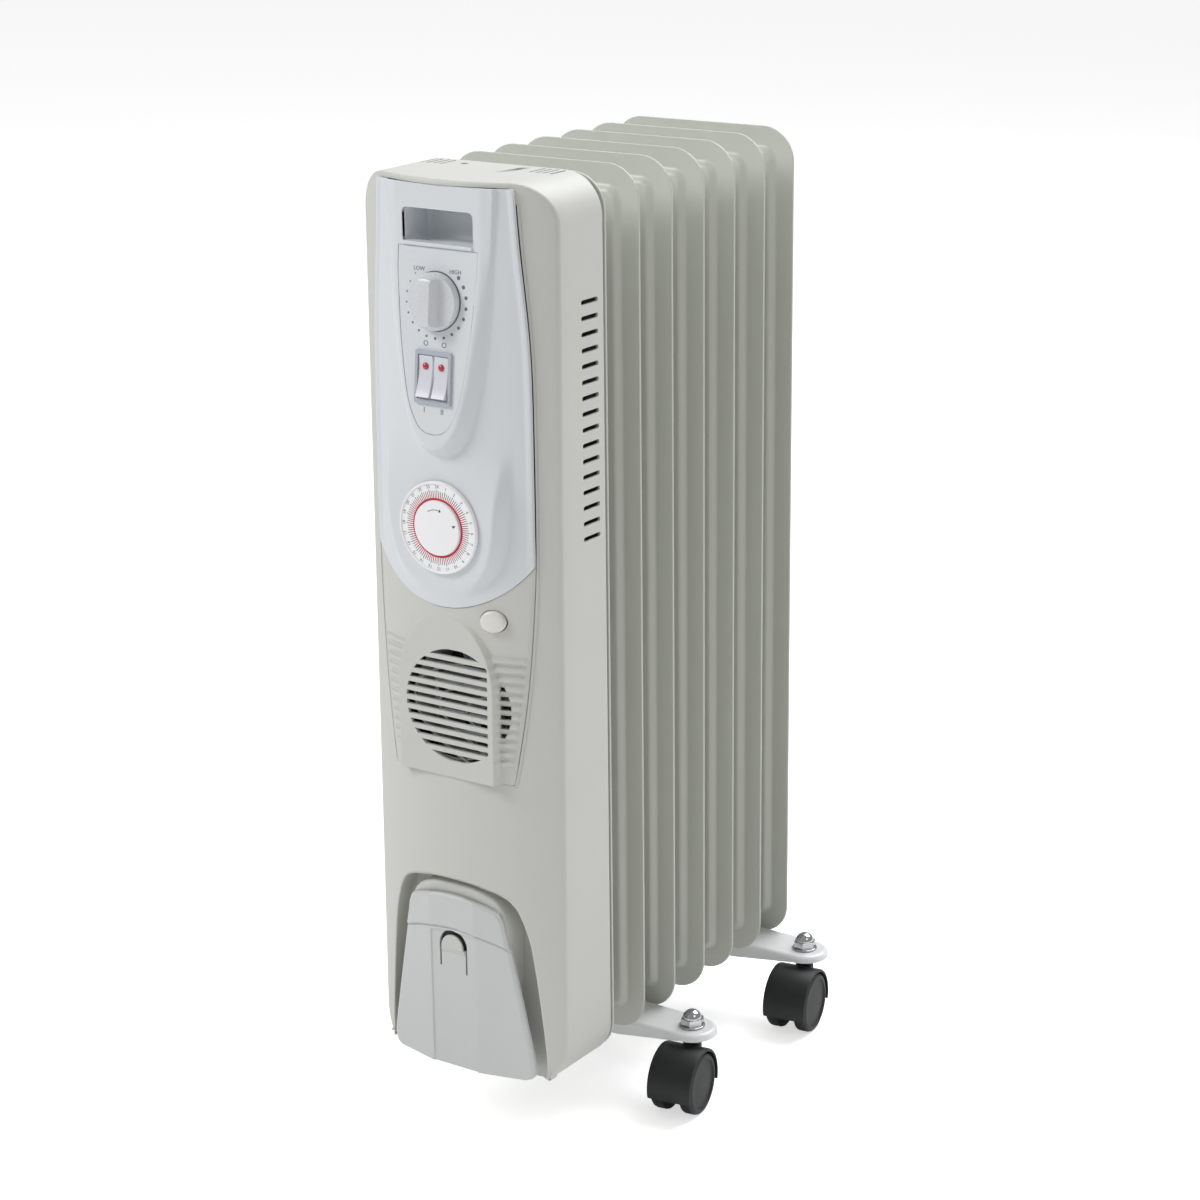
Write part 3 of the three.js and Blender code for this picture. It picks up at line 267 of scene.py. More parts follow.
# ---- Mesh helpers ------------------------------------------------------------------------------
def rows_to_sheet(bm, rows, closed=False):
    """Extrudes the first row of points through the others; returns the first and last rows' edges."""
    verts = [bm.verts.new(point) for point in rows[0]]
    pairs = list(zip(verts, verts[1:]))
    if closed:
        pairs.append((verts[-1], verts[0]))
    edges = [bm.edges.new(pair) for pair in pairs]
    first = list(edges)
    for row in rows[1:]:
        verts, edges = extrude_row(bm, verts, edges, row)
    return first, edges


def only_verts(made):
    """The vertices among the things that a bmesh operation made."""
    return [g for g in made if isinstance(g, bmesh.types.BMVert)]


def extrude_row(bm, verts, edges, row):
    order = {vert: i for i, vert in enumerate(verts)}
    made = bmesh.ops.extrude_edge_only(bm, edges=edges)["geom"]
    new = [None] * len(verts)
    for vert in only_verts(made):
        i = next(order[e.other_vert(vert)] for e in vert.link_edges if e.other_vert(vert) in order)
        vert.co = row[i]
        new[i] = vert
    fresh = set(new)
    kept = [g for g in made if isinstance(g, bmesh.types.BMEdge) and set(g.verts) <= fresh]
    return new, kept


def extend(bm, edges, move):
    """Extrudes boundary edges and moves each new vertex to where move() sends it."""
    made = bmesh.ops.extrude_edge_only(bm, edges=edges)["geom"]
    fresh = set(only_verts(made))
    for vert in fresh:
        vert.co = move(vert.co)
    return [g for g in made if isinstance(g, bmesh.types.BMEdge) and set(g.verts) <= fresh]


def fill(bm, edges, normal=(0, -1, 0)):
    bmesh.ops.triangle_fill(bm, use_beauty=True, use_dissolve=False, edges=edges, normal=normal)


def weld(bm, distance=0.01):
    bmesh.ops.remove_doubles(bm, verts=bm.verts, dist=distance)


def turn_outward(bm):
    bmesh.ops.recalc_face_normals(bm, faces=bm.faces)


def face_towards(bm, direction):
    """Turns an open sheet so that its faces look mostly along a direction."""
    turn_outward(bm)
    lean = sum((f.normal * f.calc_area()).dot(Vector(direction)) for f in bm.faces)
    if lean < 0:
        bmesh.ops.reverse_faces(bm, faces=bm.faces)


def smooth_line(points, count):
    """A smooth curve through a few points, as evenly spaced points."""
    pts = np.array(points, float)
    padded = np.vstack([2 * pts[0] - pts[1], pts, 2 * pts[-1] - pts[-2]])
    fine = []
    for i in range(len(pts) - 1):
        p0, p1, p2, p3 = padded[i : i + 4]
        for t in np.linspace(0, 1, 24, endpoint=False):
            fine.append(
                0.5
                * (2 * p1 + (p2 - p0) * t + (2 * p0 - 5 * p1 + 4 * p2 - p3) * t**2
                   + (3 * p1 - p0 - 3 * p2 + p3) * t**3)
            )
    fine.append(pts[-1])
    return even(fine, count)


def even(points, count):
    """The same path with evenly spaced points."""
    path = np.array(points, float)
    run = np.concatenate([[0], np.cumsum(np.linalg.norm(np.diff(path, axis=0), axis=1))])
    at = np.linspace(0, run[-1], count)
    return [tuple(np.interp(a, run, path[:, k]) for k in range(path.shape[1])) for a in at]


def rounded_rectangle(x0, x1, z0, z1, r, steps=6):
    """Points round a rectangle with round corners, anticlockwise from the lower right."""
    points = []
    centres = ((x1 - r, z0 + r), (x1 - r, z1 - r), (x0 + r, z1 - r), (x0 + r, z0 + r))
    for turn, (cx, cz) in enumerate(centres):
        for i in range(steps + 1):
            angle = math.radians(90 * (turn - 1) + 90 * i / steps)
            points.append((cx + r * math.cos(angle), cz + r * math.sin(angle)))
    return points


def depth_inside(x, z, outline):
    """How far each point lies inside a closed outline; negative outside."""
    p = np.stack([np.ravel(x), np.ravel(z)], 1)
    a = np.array(outline, float)
    b = np.roll(a, -1, axis=0)
    best = np.full(len(p), 1e9)
    inside = np.zeros(len(p), bool)
    for (ax, az), (bx, bz) in zip(a, b):
        dx, dz = bx - ax, bz - az
        t = np.clip(((p[:, 0] - ax) * dx + (p[:, 1] - az) * dz) / max(dx * dx + dz * dz, 1e-9), 0, 1)
        best = np.minimum(best, np.hypot(p[:, 0] - ax - t * dx, p[:, 1] - az - t * dz))
        if az != bz:
            crossing = ((az > p[:, 1]) != (bz > p[:, 1])) & (p[:, 0] < dx * (p[:, 1] - az) / dz + ax)
            inside ^= crossing
    return np.where(inside, best, -best).reshape(np.shape(x))


def ease(value, low, high):
    """0 below low, 1 above high and a smooth step between."""
    t = np.clip((value - low) / (high - low), 0, 1)
    return t * t * (3 - 2 * t)


def mirrored(right_half):
    """A closed outline from its right half, listed from the middle of the bottom to that of the top."""
    left = [(-x, z) for x, z in reversed(right_half) if x > 1e-6]
    return list(right_half) + left


def prism(bm, outline, y0, y1):
    """A closed outline in X and Z made solid between two depths."""
    verts = [bm.verts.new((x, y0, z)) for x, z in outline]
    face = bm.faces.new(verts)
    made = bmesh.ops.extrude_face_region(bm, geom=[face])["geom"]
    moved = only_verts(made)
    bmesh.ops.translate(bm, verts=moved, vec=(0, y1 - y0, 0))
    return verts + moved


def lay_flat(verts):
    """Swaps depth and height, so that a prism drawn upright stands on end."""
    for v in verts:
        v.co = (v.co.x, v.co.z, v.co.y)


def block(bm, x0, x1, y0, y1, z0, z1):
    return prism(bm, [(x0, z0), (x1, z0), (x1, z1), (x0, z1)], y0, y1)


def lathe(bm, profile, steps=48, axis=(0, 1, 0), centre=(0, 0, 0)):
    """Spins a profile of (radius, distance along the axis) into a closed solid."""
    axis = Vector(axis).normalized()
    side = axis.orthogonal().normalized()
    centre = Vector(centre)
    verts = [bm.verts.new(centre + side * r + axis * d) for r, d in profile]
    edges = [bm.edges.new(pair) for pair in zip(verts, verts[1:])]
    bmesh.ops.spin(
        bm,
        geom=verts + edges,
        cent=centre,
        axis=axis,
        angle=math.tau,
        steps=steps,
        use_merge=True,
        use_duplicate=False,
    )
    weld(bm, 0.001)


def tube(bm, points, radius, sides=8):
    """A closed round bar along a path."""
    path = [Vector(p) for p in points]
    rows = []
    for i, p in enumerate(path):
        along = (path[min(i + 1, len(path) - 1)] - path[max(i - 1, 0)]).normalized()
        across = along.cross(Vector((0, 1, 0))).normalized()
        other = along.cross(across)
        ring = []
        for k in range(sides):
            angle = math.tau * k / sides
            ring.append(p + radius * (math.cos(angle) * across + math.sin(angle) * other))
        rows.append(ring)
    rows_to_sheet(bm, rows, closed=True)
    bmesh.ops.holes_fill(bm, edges=bm.edges, sides=sides)


def freeze(obj):
    """Applies an object's modifiers to its mesh."""
    graph = bpy.context.evaluated_depsgraph_get()
    mesh = bpy.data.meshes.new_from_object(obj.evaluated_get(graph))
    old = obj.data
    obj.modifiers.clear()
    obj.data = mesh
    bpy.data.meshes.remove(old)


def carve(obj, bm, operation="DIFFERENCE"):
    """Cuts the solids of a bmesh out of an object, or keeps only what lies within them."""
    turn_outward(bm)
    bm.transform(TO_FRAME)
    mesh = bpy.data.meshes.new("cutter")
    bm.to_mesh(mesh)
    bm.free()
    cutter = bpy.data.objects.new("cutter", mesh)
    bpy.context.scene.collection.objects.link(cutter)
    cut = obj.modifiers.new("Cut", "BOOLEAN")
    cut.operation = operation
    cut.solver = "EXACT"
    cut.object = cutter
    freeze(obj)
    bpy.data.objects.remove(cutter)
    bpy.data.meshes.remove(mesh)


def finish_edges(obj, angle=35, bevel=0.0, weighted=False):
    """Smooth shading with sharp edges past an angle, and a small rounding where asked."""
    obj.data.shade_smooth()
    obj.data.set_sharp_from_angle(angle=math.radians(angle))
    if bevel:
        rounding = obj.modifiers.new("Rounding", "BEVEL")
        rounding.width = bevel * MM
        rounding.segments = 3
        rounding.limit_method = "ANGLE"
        rounding.angle_limit = math.radians(angle)
        rounding.harden_normals = True
    if weighted:
        normals = obj.modifiers.new("Normals", "WEIGHTED_NORMAL")
        normals.keep_sharp = True


def piece(bm, name, material, body="root", replaces=(), thickness=0.0):
    """Makes an object of a bmesh, moves it into the frame and ties it to its body."""
    bm.transform(TO_FRAME)
    mesh = bpy.data.meshes.new(name)
    bm.to_mesh(mesh)
    bm.free()
    obj = bpy.data.objects.new(name, mesh)
    bpy.context.scene.collection.objects.link(obj)
    mesh.materials.append(material)
    if thickness:
        wall = obj.modifiers.new("Wall", "SOLIDIFY")
        wall.thickness = thickness * MM
        wall.offset = -1
        wall.use_even_offset = False
        freeze(obj)
    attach(obj, body)
    if replaces:
        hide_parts(*replaces)
    return obj


MATERIALS = {}

# ---- Fins --------------------------------------------------------------------------------------
FIN_CORNER_R = 23
PRESS_INSET = 12.5
PRESS_DEPTH = 3.8
RIM_HALF = 0.8
FIRST_BOSS = 0.3  # how far the first fin's front bosses stand out from its channels
LAST_BOSS = 8  # from the last fin's middle to the ends of its rear bosses
JOINT_GAP = 0.15  # half the gap between the bosses of two fins
CHANNEL = 24
CROSS_BAND = 62
BOSS_R = 19


def fin_side(bm, depth, boss_end):
    """One pressed side of a fin, towards -Y, from the middle plane out to the bosses' ends."""
    slope = bpy.context.scene.heater_sizes.fin_slope

    def ring(inset, y, x0=-FIN_HALF, x1=FIN_HALF, z0=0, z1=FIN_HEIGHT, r=FIN_CORNER_R):
        points = rounded_rectangle(x0 + inset, x1 - inset, z0 + inset, z1 - inset, r - inset, 10)
        return [(x, y, z) for x, z in points]

    rows = [ring(0, 0), ring(0.1, -RIM_HALF * 0.6), ring(0.4, -RIM_HALF), ring(PRESS_INSET - 0.3, -RIM_HALF)]
    steps = 8
    for i in range(steps + 1):
        t = i / steps
        rise = t * t * (3 - 2 * t)
        y = -RIM_HALF - (depth - RIM_HALF) * rise
        rows.append(ring(PRESS_INSET + slope * t, y))
    rows.append(ring(PRESS_INSET + slope + 0.4, -depth))
    _, field = rows_to_sheet(bm, rows, closed=True)
    half = FIN_HALF - PRESS_INSET - slope / 2
    web = (2 * half - 3 * CHANNEL) / 2
    for side in (-1, 1):
        x = side * (CHANNEL + web) / 2
        low = PRESS_INSET + CROSS_BAND
        box = {"x0": x - web / 2, "x1": x + web / 2, "z0": low, "z1": FIN_HEIGHT - low, "r": web / 2 - 0.2}
        outer = [ring(0, -depth, **box), ring(0.3, -depth, **box)]
        for i in range(1, 6):
            t = i / 5
            y = -depth + (depth - RIM_HALF) * t * t * (3 - 2 * t)
            outer.append(ring(0.3 + slope * 0.7 * t, y, **box))
        border, inner = rows_to_sheet(bm, outer, closed=True)
        field += border
        fill(bm, inner)
    for height in HEADERS:
        profile = [(BOSS_R + 3, -depth), (BOSS_R + 1, -depth - 0.5), (BOSS_R, -depth - 2.2)]
        profile += [(BOSS_R, boss_end + 0.8), (BOSS_R - 0.8, boss_end)]
        rings = [circle(r, y, height) for r, y in profile]
        if boss_end > -depth - 3:
            rings = [circle(BOSS_R, -depth, height), circle(BOSS_R - 1, boss_end, height)]
        border, cap = rows_to_sheet(bm, rings, closed=True)
        field += border
        fill(bm, cap)
    fill(bm, field)


def circle(r, y, z, steps=40):
    angles = [math.tau * i / steps for i in range(steps)]
    return [(r * math.cos(a), y, z + r * math.sin(a)) for a in angles]


class HEATER_OT_fins(bpy.types.Operator):
    """Builds the pressed steel fins with their oil channels and header bosses."""

    bl_idname = "heater.fins"
    bl_label = "Fins"

    def execute(self, context):
        reach = FIN_PITCH / 2 - JOINT_GAP
        for k in range(FIN_COUNT):
            front = -PRESS_DEPTH - FIRST_BOSS if k == 0 else -reach
            back = -LAST_BOSS if k == FIN_COUNT - 1 else -reach
            bm = bmesh.new()
            fin_side(bm, PRESS_DEPTH, back)
            bmesh.ops.mirror(bm, geom=bm.verts[:] + bm.edges[:] + bm.faces[:], axis="Y", merge_dist=0)
            behind = [v for v in bm.verts if v.co.y < -1e-6]
            bmesh.ops.delete(bm, geom=behind, context="VERTS")
            fin_side(bm, PRESS_DEPTH, front)
            weld(bm, 0.005)
            turn_outward(bm)
            bmesh.ops.translate(bm, verts=bm.verts, vec=(0, k * FIN_PITCH, 0))
            name = f"fin_{k + 1}"
            obj = piece(bm, f"pressed_{name}", MATERIALS["enamel"], replaces=[name])
            finish_edges(obj, 40, weighted=True)
        return {"FINISHED"}


# ---- Casing ------------------------------------------------------------------------------------
CORE_HALF = HALF - CORNER_R
CORE_LOW = BOTTOM + CORNER_R
CORE_HIGH = TOP - CORNER_R
ARCH_HALF = 61.8
ARCH_DROP = math.sqrt(CORNER_R**2 - (ARCH_HALF - CORE_HALF) ** 2)  # tips below the corner's centre
ARCH_TIP = math.degrees(math.atan2(-ARCH_DROP, ARCH_HALF - CORE_HALF))
ARCH_FLOOR = -52
ARCH_RIGHT = [(60.5, 30), (55.5, 79), (50.7, 106), (41, 126), (21, 134), (0, 136)]
SIDE_SPLINE = [(45.7, PANEL_BOTTOM), (52.9, 255), (56.5, 295), (58.2, 326)]
SIDE_SPLINE += [(SHIELD_HIP_HALF, SHIELD_HIP), (58.9, 403), (57.8, 478)]
SHIELD_SPLINE = [(52.6, 543), (50.6, 573)]


def front_y(x, z):
    """Depth of the bowed front face."""
    inside = np.maximum(BOW_R**2 - np.minimum(np.abs(x), HALF) ** 2, 1)
    return -FRONT_DEPTH - FRONT_LEAN * (TOP - z) + BOW_R - np.sqrt(inside)


def on_front(x, z):
    return (x, float(front_y(x, z)), z)


def spread(co, inset):
    """The point straight out from the casing's core, this far in from its outline."""
    core = Vector((min(max(co.x, -CORE_HALF), CORE_HALF), 0, min(max(co.z, CORE_LOW), CORE_HIGH)))
    away = Vector((co.x - core.x, 0, co.z - core.z)).normalized()
    return core + away * (CORNER_R - inset)


def corner_arc(cx, cz, r, start, end, steps):
    angles = [math.radians(start + (end - start) * i / steps) for i in range(steps + 1)]
    return [(cx + r * math.cos(a), cz + r * math.sin(a)) for a in angles]


def ladder(start, end, steps):
    """Evenly spaced points between two, with neither end."""
    return [tuple(np.array(start) + (np.array(end) - np.array(start)) * i / steps) for i in range(1, steps)]


SCREW_X = 21
SCREW_Y = -16.4
SCREW_HOLE = 2.6  # radius of a screw hole in the top
LINE_STEPS = 60
SIDE_STEPS = 20
ARC_STEPS = 10
TOP_HALF_STEPS = 7


def upper_outline(inset):
    """The casing's edge above the split, anticlockwise from the left end of the split line."""
    h = HALF - inset
    line = [(-h + 2 * h * i / LINE_STEPS, SPLIT) for i in range(LINE_STEPS + 1)]
    right = ladder((h, SPLIT), (h, CORE_HIGH), SIDE_STEPS)
    arc = corner_arc(CORE_HALF, CORE_HIGH, CORNER_R - inset, 0, 90, ARC_STEPS)
    top = ladder((CORE_HALF, TOP - inset), (-CORE_HALF, TOP - inset), 2 * TOP_HALF_STEPS)
    left = [(-x, z) for x, z in reversed(right + arc)]
    return line + right + arc + top + left


def front_hole():
    """The edge of the hole that the shield and the fan panel fill, point for point with upper_outline."""
    low = SIDE_SPLINE[0]
    line = [(-low[0] + 2 * low[0] * i / LINE_STEPS, PANEL_BOTTOM - SEAM) for i in range(LINE_STEPS + 1)]
    side = smooth_line(SIDE_SPLINE + SHIELD_SPLINE, SIDE_STEPS + ARC_STEPS - 3)
    corner = corner_arc(50.6 - 4, SHIELD_TOP - 4, 4, 15, 90, 3)
    right = [(x + SEAM, z) for x, z in side[1:]] + [(x + SEAM * 0.7, z + SEAM * 0.7) for x, z in corner]
    right = even(right, SIDE_STEPS + ARC_STEPS)
    end = right[-1]
    top = ladder(end, (-end[0], end[1]), 2 * TOP_HALF_STEPS)
    left = [(-x, z) for x, z in reversed(right)]
    return line + right + top + left


def lower_outline(inset):
    """The casing's edge below the split, from the tip of the left leg over to the tip of the right."""
    h = HALF - inset
    arc = corner_arc(CORE_HALF, CORE_LOW, CORNER_R - inset, ARCH_TIP, 0, 6)
    right = arc + ladder((h, CORE_LOW), (h, SPLIT), 6)
    line = [(-h + 2 * h * i / LINE_STEPS, SPLIT) for i in range(LINE_STEPS + 1)]
    left = [(-x, z) for x, z in right]
    return left + line + list(reversed(right))


def arch_line(count, offset):
    """The mouth of the cord recess, moved outward by an offset, from the left tip to the right."""
    right = [(ARCH_HALF, CORE_LOW - ARCH_DROP)] + ARCH_RIGHT
    half = [(-x, z) for x, z in right]
    whole = smooth_line(half + [(x, z) for x, z in reversed(right[:-1])], count)
    path = np.array(whole)
    along = np.gradient(path, axis=0)
    normal = np.stack([-along[:, 1], along[:, 0]], 1)
    normal /= np.linalg.norm(normal, axis=1)[:, None]
    return [tuple(p) for p in path + normal * offset]


def blend_rows(inner, outer, steps):
    """Rows on the front face that change evenly from one outline to another."""
    rows = []
    for i in range(steps + 1):
        t = i / steps
        row = [(a[0] + (b[0] - a[0]) * t, a[1] + (b[1] - a[1]) * t) for a, b in zip(inner, outer)]
        rows.append([on_front(x, z) for x, z in row])
    return rows


def casing_sheet(bm, crease, lip):
    """The front face round the big hole and the arch."""
    rows_to_sheet(bm, blend_rows(front_hole(), upper_outline(crease), 12), closed=True)
    edge = lower_outline(crease)
    mouth = arch_line(len(edge), lip)
    mouth[0], mouth[-1] = edge[0], edge[-1]
    rows_to_sheet(bm, blend_rows(mouth, edge, 12))
    weld(bm, 0.02)


def casing_edges(bm, inset):
    """Boundary edges that lie this far in from the casing's outline."""

    def on_edge(vert):
        return (Vector((vert.co.x, 0, vert.co.z)) - spread(vert.co, inset)).length < 0.05

    return [e for e in bm.edges if e.is_boundary and all(on_edge(v) for v in e.verts)]


def casing_rim(bm, crease):
    """Rounds the front edge and runs the sides back to the fins."""
    edges = casing_edges(bm, crease)
    steps = 6
    for i in range(1, steps + 1):
        t = i / steps

        def round_off(co, t=t):
            a, b = spread(co, crease), spread(co, 0)
            ya = float(front_y(a.x, a.z))
            yb = float(front_y(b.x, b.z))
            p = a * (1 - t) ** 2 + b * (1 - (1 - t) ** 2)
            y = ya * (1 - t) ** 2 + yb * 2 * t * (1 - t) + (yb + crease) * t**2
            return Vector((p.x, y, p.z))

        edges = extend(bm, edges, round_off)
    edges = extend(bm, edges, lambda co: Vector((co.x, -40, co.z)))
    edges = extend(bm, edges, lambda co: Vector((co.x, REAR - 0.8, co.z)))
    edges = extend(bm, edges, lambda co: spread(co, 0.8) + Vector((0, REAR, 0)))
    extend(bm, edges, lambda co: spread(co, 4) + Vector((0, REAR, 0)))


def arch_recess(bm, count, lip):
    """The walls and the floor of the cord recess, down to the underside."""
    outer = arch_line(count, lip)
    wall = arch_line(count, 0)
    rows = []
    for i in range(6):
        t = i / 5
        row = []
        for a, b in zip(outer, wall):
            ya = float(front_y(a[0], a[1]))
            yb = float(front_y(b[0], b[1]))
            keep = (1 - t) ** 2
            x = a[0] * keep + b[0] * (1 - keep)
            z = a[1] * keep + b[1] * (1 - keep)
            row.append((x, ya * keep + yb * 2 * t * (1 - t) + (yb + lip) * t * t, z))
        rows.append(row)
    edge = lower_outline(bpy.context.scene.heater_sizes.crease)
    rows[0][0] = on_front(*edge[0])
    rows[0][-1] = on_front(*edge[-1])
    floor_r = 4
    rows.append([(x, ARCH_FLOOR - floor_r, z) for x, z in wall])
    for i in range(1, 5):
        a = math.radians(90 * i / 4)
        inner = arch_line(count, -floor_r * (1 - math.cos(a)))
        rows.append([(x, ARCH_FLOOR - floor_r + floor_r * math.sin(a), z) for x, z in inner])
    foot = underside(count)
    rows.append([(x, ARCH_FLOOR, z) for x, z in foot])
    rows.append([(x, REAR, z) for x, z in foot])
    rows_to_sheet(bm, rows)


def underside(count):
    """The casing's outline below the recess, from the left tip to the right."""
    right = corner_arc(CORE_HALF, CORE_LOW, CORNER_R, -90, ARCH_TIP, 12)
    left = [(-x, z) for x, z in reversed(right)]
    return even(left + right, count)


def louvre_cutters(bm):
    """Sixteen slots through each side, and the vents and screw holes in the top."""
    count, pitch, first = 16, 9.84, 506
    for i in range(count):
        z = first - i * pitch
        for x0, x1 in ((-HALF - 4, -HALF + 6), (HALF - 6, HALF + 4)):  # left side, right side
            outline = rounded_rectangle(-29, -11, z - 1.5, z + 1.5, 1.3, 3)
            verts = prism(bm, outline, x0, x1)
            for v in verts:
                v.co = (v.co.y, v.co.x, v.co.z)
    for side in (-1, 1):
        for i in range(4):
            x = side * (33.5 + i * 5)
            vent = rounded_rectangle(x - 0.9, x + 0.9, -25, -8, 0.85, 3)
            lay_flat(prism(bm, vent, TOP - 6, TOP + 4))
        x = side * SCREW_X
        near, far = SCREW_Y - SCREW_HOLE, SCREW_Y + SCREW_HOLE
        hole = rounded_rectangle(x - SCREW_HOLE, x + SCREW_HOLE, near, far, SCREW_HOLE - 0.05, 6)
        lay_flat(prism(bm, hole, TOP - 6, TOP + 4))


class HEATER_OT_casing(bpy.types.Operator):
    """Builds the bowed casing with its louvres, vents and cord recess."""

    bl_idname = "heater.casing"
    bl_label = "Casing"

    def execute(self, context):
        sizes = context.scene.heater_sizes
        bm = bmesh.new()
        casing_sheet(bm, sizes.crease, sizes.arch_lip)
        casing_rim(bm, sizes.crease)
        count = len(lower_outline(0))
        arch_recess(bm, count, sizes.arch_lip)
        weld(bm, 0.03)
        rim = [e for e in bm.edges if e.is_boundary]
        hole = [e for e in rim if all(v.co.z > SPLIT and v.co.y < ARCH_FLOOR for v in e.verts)]
        hole = extend(bm, hole, lambda co: co + Vector((0, 0.4, 0)))
        extend(bm, hole, lambda co: co + Vector((0, 3, 0)))
        face_towards(bm, (0, -1, 0))
        obj = piece(
            bm,
            "bowed_casing",
            MATERIALS["casing"],
            replaces=["casing"],
            thickness=1.8,
        )
        cutter = bmesh.new()
        louvre_cutters(cutter)
        carve(obj, cutter)
        finish_edges(obj, 32)
        for side in (-1, 1):
            screw = bmesh.new()
            profile = [(0, -1.2), (1.2, -1.3), (2.1, -1.9), (2.3, -2.6), (0, -2.6)]
            lathe(screw, profile, 20, (0, 0, 1), (side * SCREW_X, SCREW_Y, TOP))
            turn_outward(screw)
            hand = "left" if side < 0 else "right"
            head = piece(screw, f"top_screw_{hand}", MATERIALS["zinc"])
            finish_edges(head, 40)
        return {"FINISHED"}


# ---- Shield ------------------------------------------------------------------------------------
def half_width(z):
    """Half the width of the shield and the fan panel at a height."""
    path = np.array(smooth_line(SIDE_SPLINE + SHIELD_SPLINE + [(50.2, SHIELD_TOP + 2)], 120))
    return np.interp(z, path[:, 1], path[:, 0])


def sag_line(x):
    """Height of the shield's round lower edge."""
    reach = np.minimum(np.abs(x), SHIELD_HIP_HALF)
    return SHIELD_HIP - SHIELD_SAG + SAG_R - np.sqrt(SAG_R**2 - reach**2)


def tongue_outline():
    side = [(0, 419), (7, 421), (13, 427), (18, 438), (24, 463), (28, 490), (31, 520), (31, 560)]
    return mirrored([*smooth_line(side, 60), (31, TOP + 20), (0, TOP + 20)])


def pad_outline():
    side = [(0, 328.5), (17, 331), (29, 340), (36.5, 356), (40, 380), (41.5, 410), (42, 450)]
    return mirrored(smooth_line(side, 40) + [(0, 450)])


def band_outline():
    """The narrow facets beside the top of the tongue."""
    return mirrored([(0, 480), (33, 494), (38, 540), (41.5, TOP + 20), (0, TOP + 20)])


def shield_y(x, z):
    """Depth of the shield's moulded face."""
    base = front_y(x, z) - 1.5
    edge = np.minimum(half_width(z) - np.abs(x), 99)
    base = base - 1.3 * (1 - ease(edge, 0.5, 4.2)) * ease(z, 330, 370)
    band = ease(depth_inside(x, z, band_outline()), -1.2, 0.6)
    y = base * (1 - band) + np.minimum(base, -71.9) * band
    fade = 1 - ease(z, 378, 425)
    pad = ease(depth_inside(x, z, pad_outline()), -7.5, 0.8) * fade
    y = y * (1 - pad) + PAD_FACE * pad
    face = TONGUE_FACE - TONGUE_LEAN * np.maximum(TONGUE_KNEE - z, 0)
    tongue = ease(depth_inside(x, z, tongue_outline()), -8.5, 0.6)
    return y * (1 - tongue) + face * tongue


def height_sheet(bm, nx, nz, place, depth):
    """A grid whose columns and rows are placed by one formula and whose depth comes from another."""
    bmesh.ops.create_grid(bm, x_segments=nx, y_segments=nz, size=1)
    u = np.array([v.co.x for v in bm.verts])
    w = (np.array([v.co.y for v in bm.verts]) + 1) / 2
    x, z = place(u, w)
    y = depth(x, z)
    for vert, *co in zip(bm.verts, x, y, z):
        vert.co = co


def thicken(bm, depth):
    """Makes an open front sheet solid by running it straight back."""
    made = bmesh.ops.extrude_face_region(bm, geom=bm.faces[:])["geom"]
    bmesh.ops.translate(bm, verts=only_verts(made), vec=(0, depth, 0))
    turn_outward(bm)


def leaned(verts):
    """Turns vertices drawn against the upright tongue face onto its leaning part."""
    turn = Matrix.Rotation(-LEAN_ANGLE, 4, "X")
    knee = Vector((0, TONGUE_FACE, TONGUE_KNEE))
    for v in verts:
        v.co = knee + turn @ (v.co - knee)


PLATE_HALF = 29.6
PLATE_TOP = 540.8
POCKET = (-26.3, 26.3, PLATE_TOP, 562.8)
POCKET_BACK = -47


def plate_outline(gap=0.0):
    half = PLATE_HALF - gap
    top = PLATE_TOP - 1 - gap
    side = [(0, 426.5 + gap), (7, 428 + gap), (13, 433.5), (20, 450), (26, 486), (half, 526)]
    side = smooth_line(side, 60)
    side = [(max(x - gap, 0), z) if 7 < x < 28 else (x, z) for x, z in side]
    return mirrored(side + [(half, top), (0, top)])


def shield_place(u, w):
    low = sag_line(u * SHIELD_HIP_HALF)
    z = low + (SHIELD_TOP - low) * w
    return u * half_width(np.maximum(z, SHIELD_HIP)), z


